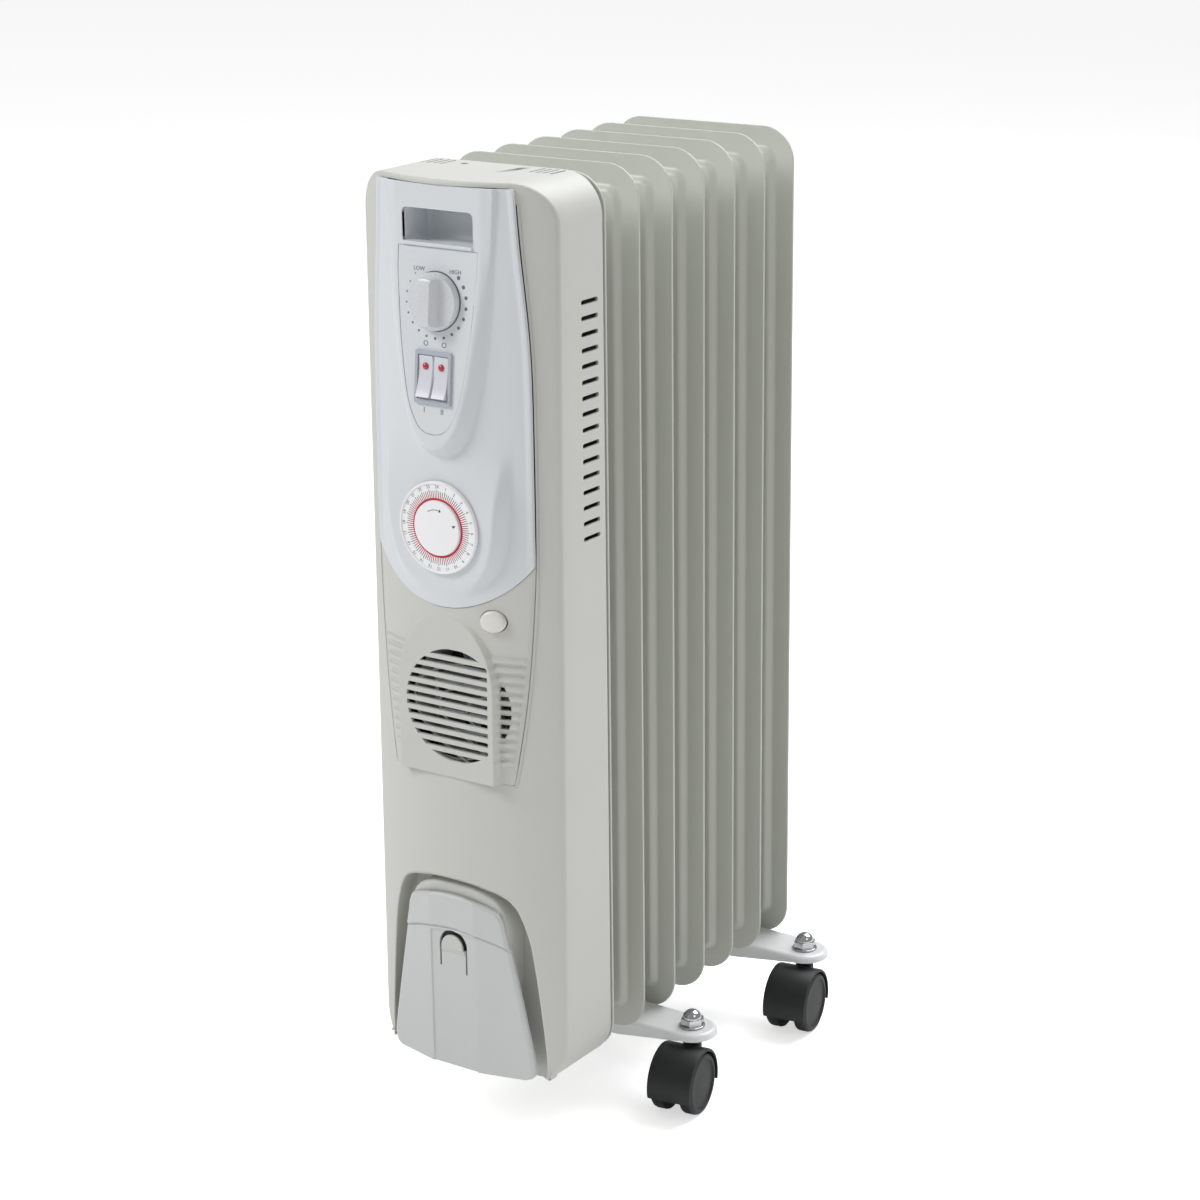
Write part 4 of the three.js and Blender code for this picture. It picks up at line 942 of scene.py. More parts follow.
class HEATER_OT_shield(bpy.types.Operator):
    """Builds the white front shield with its control tongue, timer platform and handle recess."""

    bl_idname = "heater.shield"
    bl_label = "Shield"

    def execute(self, context):
        bm = bmesh.new()
        height_sheet(bm, 120, 250, shield_place, shield_y)
        thicken(bm, 2.5)
        obj = piece(
            bm, "shield_moulding", MATERIALS["shield"], replaces=["front_shield"]
        )
        cutter = bmesh.new()
        x0, x1, z0, z1 = POCKET
        prism(cutter, rounded_rectangle(x0, x1, z0, z1, 3.5, 6), -120, -50)
        leaned(prism(cutter, plate_outline(), TONGUE_FACE - 20, TONGUE_FACE + 0.9))
        bore = 5.6
        low, high = TIMER_HEIGHT - bore, TIMER_HEIGHT + bore
        prism(cutter, rounded_rectangle(-bore, bore, low, high, bore - 0.05, 8), -120, -50)
        carve(obj, cutter)
        finish_edges(obj, 35)
        self.handle_cup()
        return {"FINISHED"}

    def handle_cup(self):
        """The pocket behind the handle opening and the ledge along its lower edge."""
        x0, x1, z0, z1 = POCKET
        bm = bmesh.new()
        rows = []
        section = [(-0.3, TONGUE_FACE - 0.1), (0, TONGUE_FACE + 0.4)]
        section += [(0, POCKET_BACK - 4), (0.5, POCKET_BACK - 1.8), (3, POCKET_BACK)]
        for inset, y in section:
            outline = rounded_rectangle(x0 + inset, x1 - inset, z0 + inset, z1 - inset, 3.5 - inset * 0.6, 6)
            rows.append([(x, y, z) for x, z in outline])
        _, last = rows_to_sheet(bm, rows, closed=True)
        fill(bm, last)
        face_towards(bm, (0, -1, 0))
        cup = piece(bm, "handle_cup", MATERIALS["shield"], thickness=1.6)
        finish_edges(cup, 40)
        ledge = bmesh.new()
        block(ledge, x0 + 0.4, x1 - 0.2, TONGUE_FACE - 1.4, TONGUE_FACE + 6, z0 - 0.6, z0 + 1.7)
        turn_outward(ledge)
        strip = piece(ledge, "handle_ledge", MATERIALS["shield"])
        finish_edges(strip, 40, bevel=0.6)


# ---- Controls ----------------------------------------------------------------------------------
KNOB_HEIGHT = 508
KNOB_R = 17.6
SWITCH_HEIGHT = 462
DOT_RING = 22.4
DOT_COUNT = 17
ROCKER_TILT = 7


def on_tongue(height):
    """Moves a shape drawn about the origin, facing -Y, onto the leaning plate at this height."""
    y = TONGUE_FACE - TONGUE_LEAN * (TONGUE_KNEE - height)
    return Matrix.Translation((0, y, height)) @ Matrix.Rotation(-LEAN_ANGLE, 4, "X")


def disc(bm, x, z, r, y, thickness=0.12, sides=20):
    """A flat disc: a printed dot, or the painted shadow ring round the knob."""
    bmesh.ops.create_cone(
        bm,
        cap_ends=True,
        cap_tris=False,
        segments=sides,
        radius1=r,
        radius2=r,
        depth=thickness,
        matrix=Matrix.Translation((x, y, z)) @ Matrix.Rotation(math.pi / 2, 4, "X"),
    )


def lettering(bm, text, x, z, y, size, turn=0.0):
    """Adds upright flat letters, facing -Y, centred on a point."""
    curve = bpy.data.curves.new("lettering", "FONT")
    curve.body = text
    curve.align_x = "CENTER"
    curve.align_y = "CENTER"
    curve.size = size
    curve.extrude = 0.05
    curve.resolution_u = 3
    holder = bpy.data.objects.new("lettering", curve)
    bpy.context.scene.collection.objects.link(holder)
    graph = bpy.context.evaluated_depsgraph_get()
    mesh = bpy.data.meshes.new_from_object(holder.evaluated_get(graph))
    mesh.transform(
        Matrix.Translation((x, y, z)) @ Matrix.Rotation(turn, 4, "Y") @ Matrix.Rotation(math.pi / 2, 4, "X")
    )
    bm.from_mesh(mesh)
    bpy.data.objects.remove(holder)
    bpy.data.curves.remove(curve)
    bpy.data.meshes.remove(mesh)


class HEATER_OT_controls(bpy.types.Operator):
    """Builds the control plate, its printing, the thermostat knob and the lit rocker switches."""

    bl_idname = "heater.controls"
    bl_label = "Controls"

    def execute(self, context):
        self.plate()
        self.printing(context.scene.heater_sizes)
        self.knob()
        self.switches()
        return {"FINISHED"}

    def plate(self):
        bm = bmesh.new()
        leaned(prism(bm, plate_outline(0.35), TONGUE_FACE + 0.25, TONGUE_FACE + 0.88))
        turn_outward(bm)
        obj = piece(bm, "plate_face", MATERIALS["shield"], replaces=["control_plate"])
        finish_edges(obj, 35)

    def printing(self, sizes):
        bm = bmesh.new()
        face = 0.2
        for i in range(DOT_COUNT):
            share = i / (DOT_COUNT - 1)
            angle = math.radians(90 + 46 + (360 - 92) * share)
            radius = sizes.dot_small + (sizes.dot_large - sizes.dot_small) * share
            disc(bm, DOT_RING * math.cos(angle), DOT_RING * math.sin(angle), radius, face)
        lettering(bm, "LOW", -13.4, 18.6, face, 3.6)
        lettering(bm, "HIGH", 13.6, 18.6, face, 3.6)
        bm.transform(on_tongue(KNOB_HEIGHT))
        obj = piece(bm, "knob_scale_print", MATERIALS["ink"])
        finish_edges(obj, 40)
        bm = bmesh.new()
        for x, z, text in ((-6.8, 20.2, "O"), (6.8, 20.2, "O"), (-6.7, -20.4, "I"), (6.7, -20.4, "II")):
            lettering(bm, text, x, z, face, 4.8)
        bm.transform(on_tongue(SWITCH_HEIGHT))
        obj = piece(bm, "switch_print", MATERIALS["ink"])
        finish_edges(obj, 40)

    def knob(self):
        """A round knob whose two sides are scooped away to leave a grip across the middle."""
        face, ridge, grip_half = 5.4, 12.9, 3.9
        section = [(-grip_half, -ridge), (-grip_half - 1.2, -ridge * 0.8), (-grip_half - 2.6, -face - 1.2)]
        section += [(-grip_half - 4.4, -face - 0.2), (-KNOB_R - 2, -face + 0.8)]
        other_side = [(-x, y) for x, y in reversed(section)]
        outline = section + [(-KNOB_R - 2, -0.2), (KNOB_R + 2, -0.2)] + other_side
        bm = bmesh.new()
        lay_flat(prism(bm, outline, -KNOB_R - 2, KNOB_R + 2))
        turn_outward(bm)
        bm.transform(on_tongue(KNOB_HEIGHT))
        obj = piece(bm, "grip_knob", MATERIALS["knob"], "knob", ["thermostat_knob"])
        bm = bmesh.new()
        profile = [(0, 0.3), (KNOB_R, 0.3), (KNOB_R, -3.6), (KNOB_R - 0.5, -5), (KNOB_R - 1.6, -6)]
        profile += [(KNOB_R - 2.4, -10), (KNOB_R - 3.4, -12), (KNOB_R - 5, -12.7), (0, -12.8)]
        lathe(bm, profile, 72)
        turn_outward(bm)
        bm.transform(on_tongue(KNOB_HEIGHT))
        carve(obj, bm, "INTERSECT")
        finish_edges(obj, 32)
        bm = bmesh.new()
        block(bm, -7.4, -6.6, -5.85, -5.3, 6.5, 13)
        turn_outward(bm)
        bm.transform(on_tongue(KNOB_HEIGHT))
        mark = piece(bm, "knob_mark", MATERIALS["mark"], "knob")
        finish_edges(mark, 40)
        # A dark ink disc just wider than the knob, behind it: painted shadow in the gap round the knob's
        # base.
        bm = bmesh.new()
        disc(bm, 0, 0, KNOB_R + 0.7, 0.28, 0.3, 64)
        bm.transform(on_tongue(KNOB_HEIGHT))
        gap = piece(bm, "knob_painted_shadow_ring", MATERIALS["ink"])
        finish_edges(gap, 40)

    def switches(self):
        bm = bmesh.new()
        half, tall, proud = 13.4, 16.2, 1.5
        frame_outer = rounded_rectangle(-half, half, -tall, tall, 0.6, 3)
        frame_inner = rounded_rectangle(-half + 1.9, half - 1.9, -tall + 2.6, tall - 2.6, 0.4, 3)
        rows = [[(x, 0.3, z) for x, z in frame_outer], [(x, -proud, z) for x, z in frame_outer]]
        rows += [[(x, -proud, z) for x, z in frame_inner], [(x, 5, z) for x, z in frame_inner]]
        _, last = rows_to_sheet(bm, rows, closed=True)
        fill(bm, last)
        fill(bm, [e for e in bm.edges if e.is_boundary])
        turn_outward(bm)
        bm.transform(on_tongue(SWITCH_HEIGHT))
        obj = piece(
            bm, "switch_frame", MATERIALS["bezel"], replaces=["switch_housing"]
        )
        finish_edges(obj, 35, bevel=0.35)
        for number, side in ((1, -1), (2, 1)):
            self.rocker(number, side)

    def rocker(self, number, side):
        """One rocker, its face hollowed from top to bottom, with its lens near the top."""
        x, half, tall = side * 5.85, 5.1, 12.7
        turn = Matrix.Translation((x, 1.2, 0)) @ Matrix.Rotation(math.radians(-ROCKER_TILT), 4, "X")
        body = "rocker_left" if side < 0 else "rocker_right"
        steps = 10
        profile = [(-tall + 0.4, 3.2)]
        for i in range(steps + 1):
            z = -tall + 2 * tall * i / steps
            profile.append((z, -2.1 - 1.7 * (z / tall) ** 2))
        profile += [(tall - 0.4, 3.2), (4, 6.2), (-4, 6.2)]
        bm = bmesh.new()
        verts = [bm.verts.new((-half, y, z)) for z, y in profile]
        side_face = bm.faces.new(verts)
        made = bmesh.ops.extrude_face_region(bm, geom=[side_face])["geom"]
        bmesh.ops.translate(bm, verts=only_verts(made), vec=(2 * half, 0, 0))
        turn_outward(bm)
        bm.transform(on_tongue(SWITCH_HEIGHT) @ turn)
        cap, node = f"rocker_cap_{number}", f"rocker_{number}"
        obj = piece(bm, cap, MATERIALS["rocker"], body, [node])
        finish_edges(obj, 30, bevel=0.4)
        bm = bmesh.new()
        dome = [(0, -3.9), (1.1, -3.75), (1.9, -3.3), (2.25, -2.6), (2.3, -1.5), (0, -1.5)]
        lathe(bm, dome, 28, centre=(0, 0, 6.4))
        turn_outward(bm)
        bm.transform(on_tongue(SWITCH_HEIGHT) @ turn)
        lamp = f"rocker_lamp_{number}"
        lens = piece(bm, f"lens_{number}", MATERIALS["lens"], body, [lamp])
        finish_edges(lens, 40)


# ---- Timer -------------------------------------------------------------------------------------
TIMER_HEIGHT = 368
TIMER_R = 29.3
TIMER_FRONT = PAD_FACE - 0.3 - 1.8


def polar(radius, degrees):
    angle = math.radians(degrees)
    return radius * math.cos(angle), radius * math.sin(angle)


def tick(bm, r0, r1, degrees, width, y):
    """A short printed line pointing at the dial's centre."""
    direction = Vector((*polar(1, degrees), 0))
    across = Vector((-direction.y, direction.x, 0)) * width / 2
    near, far = direction * r0, direction * r1
    corners = [near - across, near + across, far + across, far - across]
    verts = prism(bm, [(c.x, c.y) for c in corners], y - 0.04, y + 0.3)
    bmesh.ops.translate(bm, verts=verts, vec=(0, 0, TIMER_HEIGHT))


def printed_ring(bm, r0, r1, y, start=0, end=360, steps=96):
    """A flat ring or part of one, between two radii round the dial's centre."""
    angles = [start + (end - start) * i / steps for i in range(steps + 1)]
    rows = []
    for radius, depth in ((r1, y), (r0, y), (r0, y + 0.3), (r1, y + 0.3), (r1, y)):
        arc = [polar(radius, degrees) for degrees in angles]
        rows.append([(x, depth, z + TIMER_HEIGHT) for x, z in arc])
    rows_to_sheet(bm, rows)
    weld(bm, 0.003)
    bmesh.ops.holes_fill(bm, edges=bm.edges, sides=4)


class HEATER_OT_timer(bpy.types.Operator):
    """Builds the 24 hour timer dial and its fixed centre."""

    bl_idname = "heater.timer"
    bl_label = "Timer"

    def execute(self, context):
        self.dial()
        self.printing()
        self.centre()
        return {"FINISHED"}

    def dial(self):
        bm = bmesh.new()
        back, front = PAD_FACE - 0.3, TIMER_FRONT
        profile = [(5.6, back), (TIMER_R, back), (TIMER_R, front + 0.2), (TIMER_R - 0.5, front - 0.7)]
        profile += [(TIMER_R - 1.3, front - 0.8), (TIMER_R - 1.9, front), (5.6, front), (5.6, back)]
        lathe(bm, profile, 96, centre=(0, 0, TIMER_HEIGHT))
        turn_outward(bm)
        obj = piece(bm, "dial_disc", MATERIALS["dial"], "dial", ["timer_dial"])
        finish_edges(obj, 35)

    def printing(self):
        grey, red = bmesh.new(), bmesh.new()
        marks = 96
        for i in range(marks):
            degrees = 360 * i / marks
            tick(red, 18.6, 21.6, degrees, 0.5, TIMER_FRONT)
            tick(grey, 21.6, 23.4 if i % 4 else 24.2, degrees, 0.45, TIMER_FRONT)
        for hour in range(24):
            degrees = 90 - 15 * hour
            x, z = polar(26, degrees)
            turn = math.radians(90 - degrees)
            digits = str(hour if hour else 24)
            lettering(grey, digits, x, z + TIMER_HEIGHT, TIMER_FRONT - 0.02, 2.9, turn)
        printed_ring(red, 17.6, 18.9, TIMER_FRONT - 0.05)
        for bm, name, ink in ((grey, "dial_print_grey", "ink"), (red, "dial_print_red", "red_ink")):
            obj = piece(bm, name, MATERIALS[ink], "dial")
            finish_edges(obj, 40)

    def centre(self):
        bm = bmesh.new()
        back = TIMER_FRONT - 0.3
        profile = [(0, back + 6), (5, back + 6), (5, back), (16.9, back), (17.3, back - 0.4)]
        profile += [(17.3, back - 0.8), (16.8, back - 1.35), (15.6, back - 1.5), (0, back - 1.5)]
        lathe(bm, profile, 96, centre=(0, 0, TIMER_HEIGHT))
        turn_outward(bm)
        obj = piece(bm, "dial_centre", MATERIALS["dial"], replaces=["timer_centre"])
        finish_edges(obj, 35)
        face = back - 1.5
        bm = bmesh.new()
        printed_ring(bm, 11.6, 12.0, face - 0.03, 76, 122, 16)
        arrow = [polar(12.9, 78), polar(11.8, 70), polar(10.7, 78)]
        verts = prism(bm, arrow, face - 0.05, face + 0.1)
        pointer = [polar(13.2, 8), polar(15.4, 14), polar(12.4, 16)]
        verts += prism(bm, pointer, face - 0.05, face + 0.1)
        bmesh.ops.translate(bm, verts=verts, vec=(0, 0, TIMER_HEIGHT))
        obj = piece(bm, "centre_print", MATERIALS["black_ink"])
        finish_edges(obj, 40)


# ---- Fan outlet --------------------------------------------------------------------------------
FAN_HEIGHT = 253
FAN_SHIFT = 7.6
FAN_HALF = 38
FAN_TALL = 37
SLAT_PITCH = 6.1
SLAT_GAP = 3.1
SLAT_COUNT = 11
RAISED_HALF = 37
BUTTON_X = 34.7
BUTTON_Z = 311.5


def raised_outline():
    side = [(RAISED_HALF, 262), (36.4, 272), (34.2, 282), (30, 292), (22.5, 302), (12, 309), (0, 311)]
    foot = [(0, PANEL_BOTTOM - 20), (RAISED_HALF, PANEL_BOTTOM - 20)]
    return mirrored(foot + smooth_line(side, 40))


def panel_y(x, z):
    """Depth of the fan panel: bowed, with a raised arch and ribs beside it."""
    rib = bpy.context.scene.heater_sizes.rib_height
    base = front_y(x, z) - 1.0
    edge = half_width(z) - np.abs(x)
    base = base + 0.7 * (1 - ease(edge, 0.0, 1.2))
    phase = (z - FAN_HEIGHT) / SLAT_PITCH + SLAT_COUNT % 2 / 2
    wave = np.abs((phase % 1.0) - 0.5) * 2
    field = ease(z, FAN_HEIGHT - 35.5, FAN_HEIGHT - 34) * (1 - ease(z, FAN_HEIGHT + 35, FAN_HEIGHT + 36.5))
    ribs = ease(wave, 0.3, 0.6) * field * ease(edge, 1.5, 3)
    base = base - rib * ribs
    arch = ease(depth_inside(x, z, raised_outline()), -1.4, 0.9)
    return base * (1 - arch) + (front_y(0, z) - 1.0) * arch


def panel_place(u, w):
    top = sag_line(u * SHIELD_HIP_HALF) - SEAM
    z = PANEL_BOTTOM + (top - PANEL_BOTTOM) * w
    return u * half_width(z), z


def slot_shape(z0, z1, x0, x1):
    """One slot between two slats, its ends following the round opening."""
    steps = 5
    right, left = [], []
    for i in range(steps + 1):
        z = z0 + (z1 - z0) * i / steps
        reach = FAN_HALF * math.sqrt(max(1 - ((z - FAN_HEIGHT) / FAN_TALL) ** 2, 0))
        left.append((max(FAN_SHIFT - reach, x0), z))
        right.append((min(FAN_SHIFT + reach, x1), z))
    if min(r[0] - l[0] for r, l in zip(right[1:-1], left[1:-1])) < 1.5:
        return None
    outline = right + list(reversed(left))
    return [p for i, p in enumerate(outline) if math.dist(p, outline[i - 1]) > 0.05]


def outlet_cutters(bm):
    """The slots on the arch, those beyond its edge, and the hole for the button."""
    for i in range(SLAT_COUNT + 1):
        middle_z = FAN_HEIGHT + (i - SLAT_COUNT / 2) * SLAT_PITCH
        z0, z1 = middle_z - SLAT_GAP / 2, middle_z + SLAT_GAP / 2
        if i == 0:
            z0 = FAN_HEIGHT - FAN_TALL + 0.3
        if i == SLAT_COUNT:
            z1 = FAN_HEIGHT + FAN_TALL - 0.3
        for x0, x1 in ((-90, 32.4), (38.2, 90)):
            outline = slot_shape(z0, z1, x0, x1)
            if outline:
                prism(bm, outline, -110, -60)
    half_wide, half_tall = 8.8, 7.4
    angles = [math.tau * i / 40 for i in range(40)]
    hole = [(BUTTON_X + half_wide * math.cos(a), BUTTON_Z + half_tall * math.sin(a)) for a in angles]
    prism(bm, hole, -110, -60)


class HEATER_OT_fan(bpy.types.Operator):
    """Builds the slatted fan outlet, the guard behind it and the push button."""

    bl_idname = "heater.fan"
    bl_label = "Fan outlet"

    def execute(self, context):
        bm = bmesh.new()
        height_sheet(bm, 150, 190, panel_place, panel_y)
        thicken(bm, 2.2)
        obj = piece(bm, "slatted_panel", MATERIALS["casing"], replaces=["fan_panel"])
        cutter = bmesh.new()
        outlet_cutters(cutter)
        carve(obj, cutter)
        finish_edges(obj, 30)
        self.guard()
        self.button()
        return {"FINISHED"}

    def guard(self):
        """Three bowed arms on a ring, behind the slats."""
        bm = bmesh.new()
        y = -73.5
        arms = (
            [(17, 282), (-8, 274), (-24, 264), (-27, 252), (-20, 236), (0, 222), (20, 212)],
            [(28, 273), (8, 265), (-6, 257), (-7, 247), (3, 237), (18, 228), (30, 221)],
            [(31, 262), (18, 257), (13, 251), (15, 244), (24, 238), (33, 234)],
        )
        for arm in arms:
            path = smooth_line(arm, 26)
            tube(bm, [(x, y, z) for x, z in path], 1.0)
        ring = [polar(37.5, -160 + 140 * i / 30) for i in range(31)]
        tube(bm, [(x + 2, y + 1, z + FAN_HEIGHT) for x, z in ring], 0.9)
        turn_outward(bm)
        obj = piece(bm, "outlet_guard", MATERIALS["cover"], replaces=["fan_guard"])
        finish_edges(obj, 60)

    def button(self):
        bm = bmesh.new()
        profile = [(0, 7), (7.6, 7), (7.6, -1.2), (7.3, -2.1)]
        profile += [(6.6, -2.8), (5.2, -3.2), (2.6, -3.4), (0, -3.45)]
        lathe(bm, profile, 48)
        turn_outward(bm)
        turn = math.asin(BUTTON_X / BOW_R)
        y = float(front_y(BUTTON_X, BUTTON_Z)) - 1.0
        bm.transform(
            Matrix.Translation((BUTTON_X, y, BUTTON_Z))
            @ Matrix.Rotation(turn, 4, "Z")
            @ Matrix.Diagonal((1.1, 1, 0.92, 1))
        )
        obj = piece(bm, "button_cap", MATERIALS["button"], "button", ["turbo_button"])
        finish_edges(obj, 40)


# ---- Cord store --------------------------------------------------------------------------------
COVER_FACE = -79.4
COVER_BACK = COVER_FACE + 2.6
COVER_BOTTOM = 4
COVER_SHOULDER = 116  # height where the side edges turn into the round top
FLAT_HALF = 17.5
BUSH_PLACE = (-47, 0, 26)  # left of the cover's middle, hidden from the front right
COVER_SIDE = [(36.6, 112), (38.4, 104), (41.0, 92), (45.5, 70), (51.0, 42), (55.6, 17)]


def cover_top(x):
    return 124 - 2.2 * (np.abs(x) / 20) ** 2.1


def cover_half(z):
    side = [(20, 122), (31.5, 118)] + COVER_SIDE + [(56, 9), (54.4, 5.4), (51, COVER_BOTTOM)]
    path = np.array(smooth_line(side, 160))
    order = np.argsort(path[:, 1])
    return np.interp(z, path[order, 1], path[order, 0])


def cover_place(u, w):
    """Columns at the flat middle's edge stay upright; the others follow the sides."""
    z = COVER_BOTTOM + (COVER_SHOULDER - COVER_BOTTOM) * w
    knee = 0.36
    half = cover_half(z)
    inner = FLAT_HALF * u / knee
    outer = np.sign(u) * (FLAT_HALF + (half - FLAT_HALF) * (np.abs(u) - knee) / (1 - knee))
    x = np.where(np.abs(u) <= knee, inner, outer)
    lift = ease(w, 0.86, 1.0)
    z = z + (cover_top(x) - COVER_SHOULDER) * lift
    return x, z


def cover_y(x, z):
    """Depth of the cover: flat in the middle, falling back to the sides, with a proud top band."""
    back = 9 / (55.4 - FLAT_HALF)
    y = COVER_FACE + back * np.maximum(np.abs(x) - FLAT_HALF, 0)
    ridge = 102 - 7.6 * (np.abs(x) / 38.8) ** 2
    y = y + 1.1 * ease(ridge - z, 0.0, 1.2)
    groove = 1 - ease(np.abs(ridge - 1.1 - z), 0.2, 1.3)
    middle_part = 1 - ease(np.abs(x), FLAT_HALF - 0.4, FLAT_HALF + 0.2)
    y = y + 0.8 * groove + 1.0 * middle_part * ease(ridge - z, 3.0, 4.4)
    border = np.minimum(cover_half(z) - np.abs(x), cover_top(x) - z)
    return y + 1.3 * (1 - ease(border, 0.0, 2.4)) ** 2


class HEATER_OT_cord_store(bpy.types.Operator):
    """Builds the neck that the cord winds round, its cover with the clip, and the inlet bush."""

    bl_idname = "heater.cord_store"
    bl_label = "Cord store"

    def execute(self, context):
        self.cover()
        self.clip()
        self.neck()
        self.bush()
        return {"FINISHED"}

    def cover(self):
        bm = bmesh.new()
        height_sheet(bm, 150, 170, cover_place, cover_y)
        thicken(bm, 2.2)
        obj = piece(bm, "cover_moulding", MATERIALS["cover"], replaces=["cord_cover"])
        cutter = bmesh.new()
        staple = [(-10.9, 73.2), (-9.5, 73.2), (-9.5, 86.4), (9.5, 86.4), (9.5, 70.4), (10.9, 70.4)]
        prism(cutter, staple + corner_arc(0, 88.6, 10.9, 0, 180, 20), -110, -60)
        carve(obj, cutter)
        finish_edges(obj, 32)

    def clip(self):
        """The sprung thumb tab set back in its window, with a dark plate behind it as painted shade in the
        gaps.
        """
        bm = bmesh.new()
        outline = [(-9.3, 84), (9.3, 84)] + [(x - 0.8, z) for x, z in corner_arc(0, 87.4, 8.5, 0, 180, 16)]
        prism(bm, outline, COVER_FACE + 1.6, COVER_FACE + 3.2)
        block(bm, -9.3, 9.3, COVER_FACE + 1.3, COVER_FACE + 3.1, 84.6, 86.2)
        turn_outward(bm)
        obj = piece(bm, "clip_tab", MATERIALS["casing"])
        finish_edges(obj, 40, bevel=0.3)
        # A dark plate behind the window: painted shade, seen through the crescent and slots round the tab.
        bm = bmesh.new()
        block(bm, -13, 13, COVER_FACE + 5.2, COVER_FACE + 6.2, 68, 103)
        turn_outward(bm)
        obj = piece(bm, "clip_painted_shade_backing", MATERIALS["dark"])
        finish_edges(obj, 40)

    def neck(self):
        bm = bmesh.new()
        right = [(31, 4), (35, 40), (37.5, 78), (38.2, 104), (33, 121), (18, 129.5), (0, 131)]
        outline = mirrored([(0, COVER_BOTTOM)] + smooth_line(right, 44))
        rows = []
        front = COVER_BACK + 2.2
        section = [(0, ARCH_FLOOR - 0.2), (0, front + 3), (0.35, front + 1.2), (1.2, front + 0.3), (3, front)]
        for inset, y in section:
            rows.append([self.inward(p, inset, y) for p in outline])
        _, last = rows_to_sheet(bm, rows, closed=True)
        fill(bm, last)
        fill(bm, [e for e in bm.edges if e.is_boundary])
        turn_outward(bm)
        obj = piece(bm, "neck_moulding", MATERIALS["casing"], replaces=["cord_neck"])
        finish_edges(obj, 40)

    @staticmethod
    def inward(point, inset, y):
        x, z = point
        reach = max(math.hypot(x, (z - 70) * 0.7), 1)
        fallen = 0.16 * max(abs(x) - FLAT_HALF, 0) if y < ARCH_FLOOR - 5 else 0
        return (x * (1 - inset / reach), y + fallen, z - (z - 70) * 0.7 * inset / reach)

    def bush(self):
        bm = bmesh.new()
        floor = ARCH_FLOOR
        profile = [(4, floor + 6), (6.4, floor + 6), (6.4, floor - 0.3), (8.6, floor - 0.3)]
        profile += [(8.8, floor - 1.2), (7.8, floor - 2.6), (5, floor - 3), (4.2, floor - 2.6)]
        profile += [(4, floor - 1.6), (4, floor + 6)]
        lathe(bm, profile, 36, centre=BUSH_PLACE)
        turn_outward(bm)
        obj = piece(bm, "inlet_bush", MATERIALS["nylon"], replaces=["cord_bush"])
        finish_edges(obj, 40)


# ---- Feet --------------------------------------------------------------------------------------
FOOT_TOP = 4
PIVOT = 97
FOOT_HALF = (FIN_PITCH - 2 * RIM_HALF) / 2 - 0.6
FOOT_TIP_R = 16.5
FOOT_ROWS = (("front", 1), ("rear", FIN_COUNT - 2))


def foot_outline(inset):
    """The foot's plan, shrunk by an inset, anticlockwise from the rear left."""
    half, tip = FOOT_HALF - inset, FOOT_TIP_R - inset
    right = [(48, -half)] + corner_arc(PIVOT, 0, tip, -88, 88, 20) + [(48, half)]
    straight = ladder((48, half), (-48, half), 6)
    left = [(-x, -y) for x, y in right]
    return right + straight + left + [(-x, -y) for x, y in straight]


def flange_depth(x):
    """How far the turned down edge reaches below the top, from the middle out to the tip."""
    t = float(ease(abs(x), 46, 88))
    return 12 - 7 * t


class HEATER_OT_feet(bpy.types.Operator):
    """Builds the two pressed steel feet and the dome nuts on them."""

    bl_idname = "heater.feet"
    bl_label = "Feet"

    def execute(self, context):
        for place, gap in FOOT_ROWS:
            y = (gap + 0.5) * FIN_PITCH
            self.bar(place, y)
            for side in (-1, 1):
                hand = "left" if side < 0 else "right"
                self.nut(f"{place}_{hand}", side * PIVOT, y)
        return {"FINISHED"}

    def bar(self, place, y):
        bm = bmesh.new()
        r = 3.2
        rows = []
        for i in range(7):
            a = math.radians(90 * i / 6)
            ring = foot_outline(r * (1 - math.sin(a)))
            rows.append([(px, py, FOOT_TOP - r * (1 - math.cos(a))) for px, py in ring])
        rows.append([(px, py, FOOT_TOP - flange_depth(px)) for px, py in foot_outline(0)])
        rows_to_sheet(bm, rows, closed=True)
        top = [e for e in bm.edges if e.is_boundary and all(v.co.z > FOOT_TOP - 0.01 for v in e.verts)]
        fill(bm, top, (0, 0, 1))
        face_towards(bm, (0, 0, 1))
        bmesh.ops.translate(bm, verts=bm.verts, vec=(0, y, 0))
        obj = piece(
            bm,
            f"pressed_foot_{place}",
            MATERIALS["white_enamel"],
            replaces=[f"foot_bar_{place}"],
            thickness=1.8,
        )
        finish_edges(obj, 50, weighted=True)

    def nut(self, place, x, y):
        bm = bmesh.new()
        base = FOOT_TOP + 0.3
        washer = [(0, base), (8.6, base), (8.8, base + 0.5)]
        washer += [(8.4, base + 1.1), (6, base + 1.3), (0, base + 1.3)]
        lathe(bm, washer, 36, (0, 0, 1), (x, y, 0))
        bmesh.ops.create_cone(
            bm,
            cap_ends=True,
            segments=6,
            radius1=8,
            radius2=8,
            depth=4.6,
            matrix=Matrix.Translation((x, y, base + 3.4)) @ Matrix.Rotation(0.35, 4, "Z"),
        )
        quarter = np.linspace(0, math.pi / 2, 12)
        dome = [(0, base + 5)] + [(6.4 * math.cos(a), base + 5.6 + 5.8 * math.sin(a)) for a in quarter]
        lathe(bm, dome, 32, (0, 0, 1), (x, y, 0))
        turn_outward(bm)
        node = f"dome_nut_{place}"
        obj = piece(bm, f"acorn_nut_{place}", MATERIALS["nickel"], replaces=[node])
        finish_edges(obj, 35, bevel=0.5)


# ---- Casters -----------------------------------------------------------------------------------
WHEEL_R = 21
AXLE = -29
TRAIL = 16
TOE = 8


